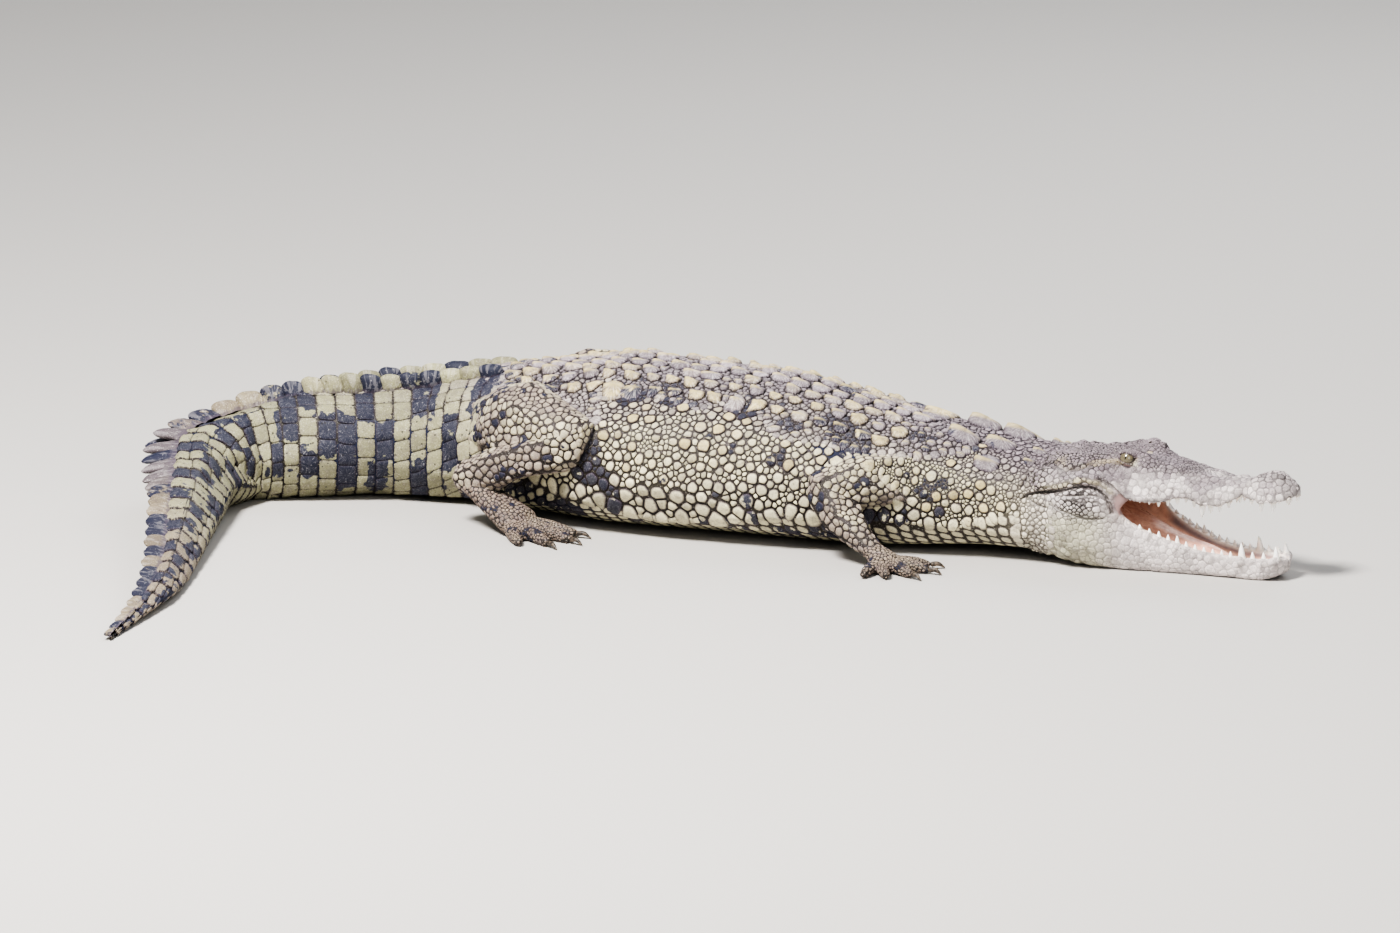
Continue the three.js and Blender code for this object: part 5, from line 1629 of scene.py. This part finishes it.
# Mottled, pitted horn over a given paint. Blot lays on the dark blotches.
horn, given, result = effect(
    "weathered_horn",
    {"Paint": "Color", "Blot": "Float", "Dice": "Float", "Mottle": "Float", "Pits": "Float"},
    {"Color": "Color", "Roughness": "Float", "Height": "Float"},
)
spot = node(horn, "TexCoord")["Object"]
broad = noise(horn, spot, 60.0, 5.0, 0.62)
fine = noise(horn, spot, 330.0, 4.0, 0.65)
cloud = times(horn, ramp(horn, broad, 0.44, 0.66), given["Mottle"])
color = blend(horn, given["Paint"], rgba(104, 92, 98), cloud)
color = blend(horn, color, rgba(238, 232, 222), times(horn, ramp(horn, fine, 0.54, 0.74), 0.5))
color = blend(horn, color, rgba(74, 64, 66), times(horn, ramp(horn, fine, 0.46, 0.28), 0.6))
shade = calc(horn, "MULTIPLY_ADD", given["Dice"], 0.34, 0.80)
tone = node(horn, "HueSaturation", {"Value": shade, "Color": color})[0]
blot_edge = calc(horn, "ADD", given["Blot"], calc(horn, "MULTIPLY_ADD", broad, 1.1, -0.55))
blot_share = ramp(horn, blot_edge, 0.44, 0.56, 0.0, 0.96)
flecks = noise(horn, spot, 190.0, 3.0, 0.7)
night = blend(horn, (*SKY_BLACK, 1.0), rgba(150, 148, 152), ramp(horn, flecks, 0.60, 0.70, 0.0, 0.75))
tone = blend(horn, tone, night, blot_share)
pit_at = node(horn, "TexVoronoi", {"Vector": spot, "Scale": 62.0, "Randomness": 1.0})["Distance"]
pits = times(horn, ramp(horn, pit_at, 0.16, 0.09), given["Pits"])
tone = blend(horn, tone, rgba(40, 36, 38), pits)
horn.links.new(tone, result.inputs["Color"])
horn.links.new(calc(horn, "MULTIPLY_ADD", fine, 0.30, 0.45), result.inputs["Roughness"])
height = calc(horn, "MULTIPLY_ADD", fine, 0.5, times(horn, pits, -0.9))
height = calc(horn, "MULTIPLY_ADD", broad, 0.7, height)
horn.links.new(height, result.inputs["Height"])

# A scale over that horn: a band of painted shade inside its rim, etched by ragged ticks, a black seam round
# it, pale and dark rays from its crown, and the crown's own colour.
plate, given, result = effect(
    "scale_markings",
    {"Paint": "Color", "Marks": "Color", "Blot": "Float", "Etch": "Float", "Mottle": "Float", "Pits": "Float",
     "Band": "Float", "Band From": "Float", "Seam": "Float", "Seam From": "Float", "Rays": "Float",
     "Crown": "Float", "Crown Color": "Color", "Side Seams": "Float", "Ragged": "Float"},
    {"Color": "Color", "Roughness": "Float", "Height": "Float"},
)
parts = node(plate, "SeparateColor", {0: given["Marks"]})
made = place_effect(plate, horn, {"Paint": given["Paint"], "Blot": given["Blot"], "Dice": parts[1],
                                  "Mottle": given["Mottle"], "Pits": given["Pits"]})
lie = node(plate, "UVMap", uv_map="Lie")[0]
along = node(plate, "SeparateXYZ", {0: lie})
turn = calc(plate, "ARCTAN2", along[1], along[0])
seed = times(plate, parts[1], 37.0)
tick_at = combine(plate, times(plate, turn, 4.6), parts[0], seed)
ticks = noise(plate, tick_at, 2.0, 2.0, 0.7)
spot = node(plate, "TexCoord")["Object"]
ragged = noise(plate, spot, 150.0, 4.0, 0.7)
edge = calc(plate, "SUBTRACT", calc(plate, "ADD", ticks, ragged), 1.0)
edge = calc(plate, "MULTIPLY_ADD", edge, given["Ragged"], parts[0])
rim_shade = calc(plate, "SUBTRACT", edge, given["Band From"])
across = ramp(plate, calc(plate, "ABSOLUTE", calc(plate, "SINE", turn)), 0.66, 0.76)
less = calc(plate, "SUBTRACT", given["Side Seams"], 1.0)
across = times(plate, calc(plate, "MULTIPLY_ADD", across, less, 1.0), given["Etch"])
rim_shade = times(plate, ramp(plate, rim_shade, 0.0, 0.22), times(plate, given["Band"], across))
# Painted shade: each scale is darkened in a band inside its rim, where it curves down to its seam.
color = blend(plate, made["Color"], rgba(82, 72, 84), rim_shade)
ray_at = combine(plate, times(plate, turn, 4.4), times(plate, parts[0], 0.9), seed)
streak = noise(plate, ray_at, 2.6, 3.0, 0.65)
color = blend(plate, color, rgba(236, 230, 230),
              times(plate, ramp(plate, streak, 0.51, 0.60), given["Rays"]))
color = blend(plate, color, rgba(72, 64, 72),
              times(plate, ramp(plate, streak, 0.47, 0.38), given["Rays"]))
crown = times(plate, ramp(plate, parts[2], 0.3, 0.75), given["Crown"])
color = blend(plate, color, given["Crown Color"], crown)
seam = calc(plate, "SUBTRACT", edge, given["Seam From"])
seam = times(plate, ramp(plate, seam, 0.0, 0.08), times(plate, given["Seam"], across))
color = blend(plate, color, rgba(38, 30, 36), seam)
plate.links.new(color, result.inputs["Color"])
plate.links.new(made["Roughness"], result.inputs["Roughness"])
height = calc(plate, "MULTIPLY_ADD", streak, 1.6, made["Height"])
height = calc(plate, "MULTIPLY_ADD", seam, -0.8, calc(plate, "MULTIPLY_ADD", rim_shade, -0.35, height))
plate.links.new(height, result.inputs["Height"])


# Band and Band From set the painted rim shade: how strong it is and how far out it starts.
USUAL = dict(Mottle=0.3, Pits=0.3, Band=0.6, Band_From=0.72, Seam=0.85, Seam_From=0.90, Rays=0.0, Crown=0.0,
             Crown_Color=(*OCHRE, 1.0), Side_Seams=1.0, Ragged=0.5)


def scale_finish(name, relief=0.55, **amounts):
    """The finish of one group of scales, over their own paint and marks, where it differs from the usual."""
    material, tree, shader = new_material(name, 0.6, 0.3)
    paint = node(tree, "Attribute", attribute_name="paint")
    marks = node(tree, "Attribute", attribute_name="marks")
    amounts = {key.replace("_", " "): value for key, value in {**USUAL, **amounts}.items()}
    made = place_effect(tree, plate, {"Paint": paint["Color"], "Etch": paint["Alpha"],
                                      "Marks": marks["Color"], "Blot": marks["Alpha"], **amounts})
    dress(tree, shader, made["Color"], made["Roughness"], made["Height"], relief, 0.0014)
    return material


tail_finish = scale_finish("tail_plate_horn", Pits=0.9, Band_From=0.80, Seam_From=0.93, Rays=0.08,
                           Side_Seams=0.45)
back_finish = scale_finish("back_plate_horn", 0.8, Mottle=0.5, Band_From=0.62, Rays=0.36, Crown=0.6,
                           Ragged=0.35)
nape_finish = scale_finish("nape_plate_horn", 0.9, Mottle=0.5, Rays=0.22, Crown=0.6, Ragged=0.25)
flank_finish = scale_finish("flank_scale_horn", 0.7, Band=0.75, Band_From=0.66, Seam_From=0.86, Rays=0.10,
                            Crown=0.3, Ragged=0.16)
leg_finish = scale_finish("leg_scale_horn", Mottle=0.45, Ragged=0.2)
head_finish = scale_finish("head_plate_horn", 0.6, Band=0.15, Seam=0.8, Ragged=0.2, Pits=0.5)
crest_finish = scale_finish("crest_horn", 0.7, Band=0.7, Seam=0.0, Rays=0.12, Pits=0.6)
tail_coat.finish(tail_finish, "body_hide")
tail_end_coat.finish(tail_finish, "body_hide")
belly_coat.finish(flank_finish, "body_hide")
flank_coat.finish(flank_finish, "body_hide")
neck_coat.finish(flank_finish, "body_hide")
back_coat.finish(back_finish, "body_hide")
shields.finish(nape_finish, "body_hide")
limb_coat.finish(leg_finish, "body_hide")
head_coat.finish(head_finish, "head_hide")
crest.finish(crest_finish, "body_hide")

# ---- The hide's finish ----
# Between the scales the hide is dark and dull. Inside the mouth it turns to a moist lining, flesh coloured on
# the floor and painted paler there as painted light, grey mauve on the jaws' inner faces, and pale pink at
# the gums.
points = points_of(hide)
part, _, s_at, angle_at = whereabouts(points)
fall_at_point = np.abs((math.pi / 2 - angle_at + math.pi) % (2 * math.pi) - math.pi)
share = fall_at_point / math.pi
straight = straighten_head(points)
x, y, z = straight[:, 0], np.abs(straight[:, 1]), straight[:, 2]
normal = normals_of(hide)
up = normal[:, 2]
tint = body_tint(s_at, share, points)
tint = np.where((part > 2)[:, None], LEG * (0.9 + 0.2 * grain(points, 60, 23))[:, None], tint)
head_share = smooth((x - 700) / 16)[:, None]
on_head = np.nonzero(x > COLOR_FROM)[0]
chalk, folded_in = tint.copy(), np.zeros(len(x))
chalk[on_head] = head_tint(x[on_head], y[on_head], z[on_head], points[on_head])
folded_in[on_head] = creased(straight[on_head])
tint = tint * (1 - head_share) + chalk * head_share
is_head = (part == 1) | (part == 2)
blot = np.where(part == 0, body_blot(s_at, share, points), 0.0)
netted = mixed(tint * 0.12, NET * 0.34, 0.6)
netted = mixed(netted, tint * 0.5, 0.6 * smooth(1 - s_at / 120) * (part == 0))
etched = np.where(is_head, 0.15 + 0.85 * head_etch(x, z, part == 2), 1.0)[:, None]
netted = tint * 0.84 * (1 - etched) + netted * etched
gaze = np.column_stack([x, y, z]) - EYE_AT
lid = smooth((30 - np.linalg.norm(gaze, axis=1)) / 6)[:, None] * is_head[:, None]
# In the creases and the mouth's corner web the hide takes the head's paint, whose creases are painted darker:
# painted shade.
bare = np.maximum(folded_in, near(np.column_stack([x, z]), *WEB) * (z > 108)) * (x > COLOR_FROM)
netted = mixed(netted, chalk, smooth((bare - 0.1) / 0.4))
netted = netted * (1 - lid) + chalk * 0.85 * lid
gaze /= np.linalg.norm(gaze, axis=1)[:, None]
upper, lower = lid_edges(gaze @ EYE_AHEAD)
rim = np.minimum(np.abs(gaze @ EYE_UP - upper), np.abs(gaze @ EYE_UP - lower))
rim = (smooth(1.5 - rim / 0.12) * (gaze @ EYE_OUT > 0.3))[:, None] * lid
netted = netted * (1 - 0.8 * rim) + srgb(52, 42, 42) * 0.8 * rim
wet = mouth_lining(x, y, z, up) * is_head
# Painted light: the floor's flesh colour is paler than flesh, to make up for the shade inside the mouth.
FLOOR_FLESH_PAINTED_LIGHT, GUM_PINK, INNER_JAW = srgb(250, 212, 192), srgb(232, 222, 212), srgb(160, 148, 152)
gum = smooth((z - gum_height(x) + 9) / 7)
flesh = mixed(FLOOR_FLESH_PAINTED_LIGHT, INNER_JAW, smooth((z - mouth_floor(x) - 3) / 9) * smooth((x - 880) / 40))
flesh = mixed(flesh, GUM_PINK, gum * smooth((x - 850) / 20))
corner = smooth((x - 852) / 8) * smooth((912 - x) / 14) * smooth((z - 112) / 10)
flesh = mixed(flesh, srgb(156, 132, 130), corner)
flesh = flesh * (0.88 + 0.24 * grain(points, 14, 81))[:, None]
skin_paint = netted * (1 - wet[:, None]) + flesh * wet[:, None]
hide.data.attributes.new("paint", "FLOAT_COLOR", "POINT").data.foreach_set(
    "color", np.column_stack([skin_paint, np.ones(len(skin_paint))]).ravel())
hide.data.attributes.new("marks", "FLOAT_COLOR", "POINT").data.foreach_set(
    "color", np.column_stack([wet, lid[:, 0], np.zeros(len(wet)), blot * (1 - wet)]).ravel())
hide_paint, tree, shader = new_material("hide_skin", 0.62, 0.3)
paint = node(tree, "Attribute", attribute_name="paint")["Color"]
marks = node(tree, "Attribute", attribute_name="marks")
wetness = node(tree, "SeparateColor", {0: marks["Color"]})[0]
made = place_effect(tree, horn, {"Paint": paint, "Blot": marks["Alpha"], "Dice": 0.5, "Mottle": 0.2,
                                 "Pits": 0.0})
spot = node(tree, "TexCoord")["Object"]
veins = noise(tree, spot, 90.0, 6.0, distortion=1.2)
lining_color = blend(tree, paint, rgba(190, 136, 118), ramp(tree, veins, 0.50, 0.75, 0.0, 0.35))
color = blend(tree, made["Color"], lining_color, wetness)
rough = node(tree, "Mix", {0: wetness, 2: made["Roughness"], 3: 0.30}, data_type="FLOAT")[0]
dress(tree, shader, color, rough, made["Height"], 0.45, 0.001)
hide.data.materials.append(hide_paint)
shade_smooth(hide)
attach(hide, "root")
fleshy = ("neck", "trunk", "tail_", "skull", "lower_jaw", "thigh_", "shank_", "hind_foot_", "upper_arm_",
          "forearm_", "fore_foot_")
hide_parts(*[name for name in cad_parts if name.startswith(fleshy)])

# ---- The teeth ----
# Conical, ivory white teeth stand along the jaws, bent slightly inwards, each in a low collar of gum.
# The fourth tooth below and the ones beside the notch are the biggest.
UPPER_ROWS = [(893, 1118, 13, 13, {8: 32, 7: 19, 9: 20, 10: 16, 0: 7, 1: 8, 2: 9}),
              (1144, 1219, 4, 15, {1: 21, 2: 21, 3: 11})]
LOWER_ROWS = [(909, 1100, 11, 11, {4: 16, 5: 11, 0: 7, 1: 8}), (1124, 1194, 4, 14, {0: 30, 3: 24})]
TOOTH_SIDES = 12
TOOTH_UP = np.array([-0.55, -0.30, -0.08, 0.10, 0.35, 0.6, 0.8, 0.93])
TOOTH_GIRTH = np.array([1.0, 1.6, 1.7, 1.04, 0.88, 0.64, 0.38, 0.19])


def grow_tooth(coat, x, y, edge, side, way, length, dice):
    """One tooth: rings stacked from inside its collar of gum to the tip."""
    radius, angle = 2.3 + length * 0.165, np.arange(TOOTH_SIDES) * 2 * math.pi / TOOTH_SIDES
    bent = np.clip(TOOTH_UP, 0, 1) ** 2
    bend = -side * 0.10 * length * bent
    px = x + radius * TOOTH_GIRTH[:, None] * np.cos(angle) - 0.10 * length * bent[:, None]
    py = y + radius * 0.86 * TOOTH_GIRTH[:, None] * np.sin(angle) + bend[:, None]
    pz = edge + way * length * TOOTH_UP[:, None] + 0 * px
    tip = [x - 0.11 * length, y + bend[-1] * 1.1, edge + way * length]
    made = turn_head(np.vstack([np.stack([px, py, pz], -1).reshape(-1, 3), tip]))
    per = len(made)
    tall = np.concatenate([np.repeat(TOOTH_UP, TOOTH_SIDES), [1.0]])
    ivory = mixed(srgb(248, 246, 242), GUM_PINK * 0.92, smooth((0.06 - tall) / 0.1))
    ivory = mixed(ivory, srgb(206, 190, 160), 0.2 * smooth((0.30 - tall) / 0.25) * (tall > 0.0))
    row = (0 if way < 0 else 1) * 0.1 + (0.05 if side > 0 else 0)
    centre = np.array([0.02 + 0.9 * (x - 880) / 360, 0.1 + row * 4])
    coat.add_cone(made, TOOTH_SIDES, way < 0, ivory, (tall, dice, tall, 0), np.zeros((per, 2)), centre,
                  1 - 0.9 * (TOOTH_UP + 0.55) / 1.55, 0.018)


for name, rows, width_at, edge_at, way in [
    ("upper_teeth", UPPER_ROWS, lip_width, lip_height, -1),
    ("lower_teeth", LOWER_ROWS, jaw_width, gum_height, 1),
]:
    coat = Coat(name)
    for first_x, last_x, count, usual, big in rows:
        for i in range(count):
            for side in (-1, 1):
                x = first_x + (last_x - first_x) * i / (count - 1)
                y = side * max(9, width_at(x) * 0.95 - 8)
                grow_tooth(coat, x, y, edge_at(x), side, way, big.get(i, usual), (i * 0.37) % 1)
    enamel, tree, shader = new_material(name + "_enamel", 0.28, 0.5)
    shader.inputs["Subsurface Weight"].default_value = 0.08
    shader.inputs["Subsurface Radius"].default_value = (0.004, 0.003, 0.002)
    paint = node(tree, "Attribute", attribute_name="paint")["Color"]
    spot = node(tree, "TexCoord")["Object"]
    stretched = node(tree, "Mapping", {0: spot, 3: (1.0, 1.0, 0.25)})[0]
    streak = noise(tree, stretched, 700.0, 3.0)
    color = blend(tree, paint, rgba(170, 146, 104), ramp(tree, streak, 0.52, 0.8, 0.0, 0.4))
    dress(tree, shader, color, ramp(tree, streak, 0.3, 0.8, 0.22, 0.45), streak, 0.25, 0.0004)
    coat.finish(enamel, "head_hide")

# ---- The tongue ----
# A flat, pale fleshy tongue is bound down along the floor of the mouth. It has a shallow groove down its
# middle and a skin of fine buds. Its flesh is painted paler than flesh, as painted light for the shade inside
# the mouth.
TONGUE_X = np.linspace(812, 1090, 60)
rings = []
for i, tongue_x in enumerate(TONGUE_X):
    w = max(4.0, inner_jaw(tongue_x) * 0.76 * math.sqrt(max(0.05, 1 - (i / 59) ** 6)) - 2.6)
    low, tall = mouth_floor(tongue_x) + 5.4, 14.0 * float(smooth((10.6 - i / 5.9) / 3))
    across = np.linspace(-1, 1, 25)
    top = tall * (1 - np.abs(across) ** 2.6) + 1.0 - 1.6 * np.exp(-(across / 0.12) ** 2) * (tall / 14)
    upper_line = np.column_stack([np.full(25, tongue_x), across * w, low + top])
    lower_line = np.column_stack([np.full(9, tongue_x), np.linspace(0.9, -0.9, 9) * w, np.full(9, low)])
    rings.append(np.vstack([upper_line, lower_line]))
rings = np.array(rings)
rings[..., 2] += 0.7 * (grain(rings, 9, 83) - 0.5) * (rings[..., 2] > mouth_floor(rings[..., 0]) + 8)
tongue_points, tongue_faces = loft(turn_head(rings))
tongue = mesh_object("tongue_flesh", [(tongue_points, [face[::-1] for face in tongue_faces])])
tongue_paint, tree, shader = new_material("tongue_flesh", 0.34, 0.45)
spot = node(tree, "TexCoord")["Object"]
blush = noise(tree, spot, 60.0, 6.0)
buds = node(tree, "TexVoronoi", {"Vector": spot, "Scale": 420.0})["Distance"]
# Painted light: these flesh colours are paler than the tongue's own, to make up for the shade inside the
# mouth.
color = blend(tree, rgba(232, 188, 168), rgba(208, 156, 138), ramp(tree, blush, 0.4, 0.65))
color = blend(tree, color, rgba(214, 176, 152), ramp(tree, buds, 0.3, 0.1, 0.0, 0.5))
dress(tree, shader, color, ramp(tree, blush, 0.3, 0.7, 0.26, 0.42), buds, 0.4, 0.0006)
tongue.data.materials.append(tongue_paint)
shade_smooth(tongue)
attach(tongue, "root")
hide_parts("tongue")

# ---- The eyes ----
# Two glassy balls sit behind the lids. They are olive brown with dark spokes and a slit pupil that stands
# upright, and bulge a little in front.
for side, hand in ((-1, "right"), (1, "left")):
    bpy.ops.object.select_all(action="DESELECT")
    bpy.ops.mesh.primitive_uv_sphere_add(segments=48, ring_count=32, radius=EYE_RADIUS * MM)
    ball = bpy.context.object
    ball.name = f"eyeball_{hand}"
    mirror = np.array([1, side, 1])
    out, up = (turn_head(way * mirror + (HEAD_BACK, 0, 0)) - turn_head((HEAD_BACK, 0, 0))
               for way in (EYE_OUT, EYE_UP))
    out, up = out / np.linalg.norm(out), up / np.linalg.norm(up)
    ahead = np.cross(up, out)
    co = np.empty(len(ball.data.vertices) * 3)
    ball.data.vertices.foreach_get("co", co)
    local = co.reshape(-1, 3)
    w = local / (EYE_RADIUS * MM)
    bulge = 1 + 0.035 * smooth((w[:, 2] - 0.72) / 0.25)
    local = local * bulge[:, None]
    centre = turn_head(EYE_AT * mirror) * MM + TO_FRAME
    turned = local[:, :1] * ahead + local[:, 1:2] * up + local[:, 2:] * out + centre
    ball.data.vertices.foreach_set("co", turned.ravel())
    ball.data.attributes.new("gaze", "FLOAT_VECTOR", "POINT").data.foreach_set("vector", w.ravel())
    ball.data.update()
    if side > 0:
        ball.data.flip_normals()
    iris, tree, shader = new_material(f"eye_{hand}_glass", 0.16, 0.5)
    shader.inputs["Coat Weight"].default_value = 1.0
    shader.inputs["Coat Roughness"].default_value = 0.09
    gaze = node(tree, "Attribute", attribute_name="gaze")["Vector"]
    part_of = node(tree, "SeparateXYZ", {0: gaze})
    flat = combine(tree, part_of[0], part_of[1])
    reach = node(tree, "VectorMath", {0: flat}, operation="LENGTH")["Value"]
    turn = calc(tree, "ARCTAN2", part_of[1], part_of[0])
    spoke_at = combine(tree, times(tree, turn, 5.0), reach)
    spokes = noise(tree, spoke_at, 3.0, 4.0)
    color = blend(tree, rgba(124, 116, 92), rgba(88, 80, 64), ramp(tree, spokes, 0.35, 0.65))
    color = blend(tree, color, rgba(52, 44, 36), ramp(tree, reach, 0.62, 0.82))
    slit_shape = combine(tree, times(tree, part_of[0], 5.5), times(tree, part_of[1], 1.3))
    slit = node(tree, "VectorMath", {0: slit_shape}, operation="LENGTH")["Value"]
    color = blend(tree, color, rgba(30, 27, 24), ramp(tree, slit, 0.50, 0.40))
    tree.links.new(color, shader.inputs["Base Color"])
    ball.data.materials.clear()
    ball.data.materials.append(iris)
    shade_smooth(ball)
    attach(ball, "root")
    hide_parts(f"eye_{hand}")

# ---- The claws ----
# Three blunt, slightly hooked claws stand on the inner digits of each foot. They are of dark horn with
# lengthwise wear.
claw_horn, tree, shader = new_material("claw_horn", 0.42, 0.45)
spot = node(tree, "TexCoord")["Object"]
wear = noise(tree, spot, 160.0, 5.0)
color = blend(tree, rgba(58, 52, 48), rgba(126, 112, 96), ramp(tree, wear, 0.42, 0.7, 0.0, 0.8))
dress(tree, shader, color, ramp(tree, wear, 0.3, 0.7, 0.32, 0.6), wear, 0.4, 0.0006)
CLAW_OUT = 5.2
for side, hand in ((-1, "right"), (1, "left")):
    for foot, length in (("hind", 27), ("fore", 23)):
        parts_of_foot = []
        for start, along, tip, radius in limbs[side][1][foot][:3]:
            root = tip + along * (TOE_END * radius * ROUND_END + CLAW_OUT - 3.5)
            root[2] = 9.5
            middle = root + along * length * 0.55 + (0, 0, 1.2)
            point = root + along * (length + 3.5)
            point[2] = 2.6
            claw = Rod([root, middle, point], [5.6, 4.4, 1.2])
            u = np.concatenate([[-0.97, -0.6], np.linspace(0, 1, 12), [1.6, 1.97]])
            parts_of_foot.append(loft(claw.point(*np.meshgrid(u, ROD_AROUND[::2], indexing="ij"))))
        claws = mesh_object(f"{foot}_claws_{hand}", parts_of_foot)
        activate(claws)
        bpy.ops.object.mode_set(mode="EDIT")
        bpy.ops.mesh.select_all(action="SELECT")
        bpy.ops.mesh.normals_make_consistent(inside=False)
        bpy.ops.object.mode_set(mode="OBJECT")
        claws.data.materials.append(claw_horn)
        shade_smooth(claws)
        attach(claws, "root")
        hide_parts(*[f"{foot}_claw_{hand}_{i}" for i in (1, 2, 3)])
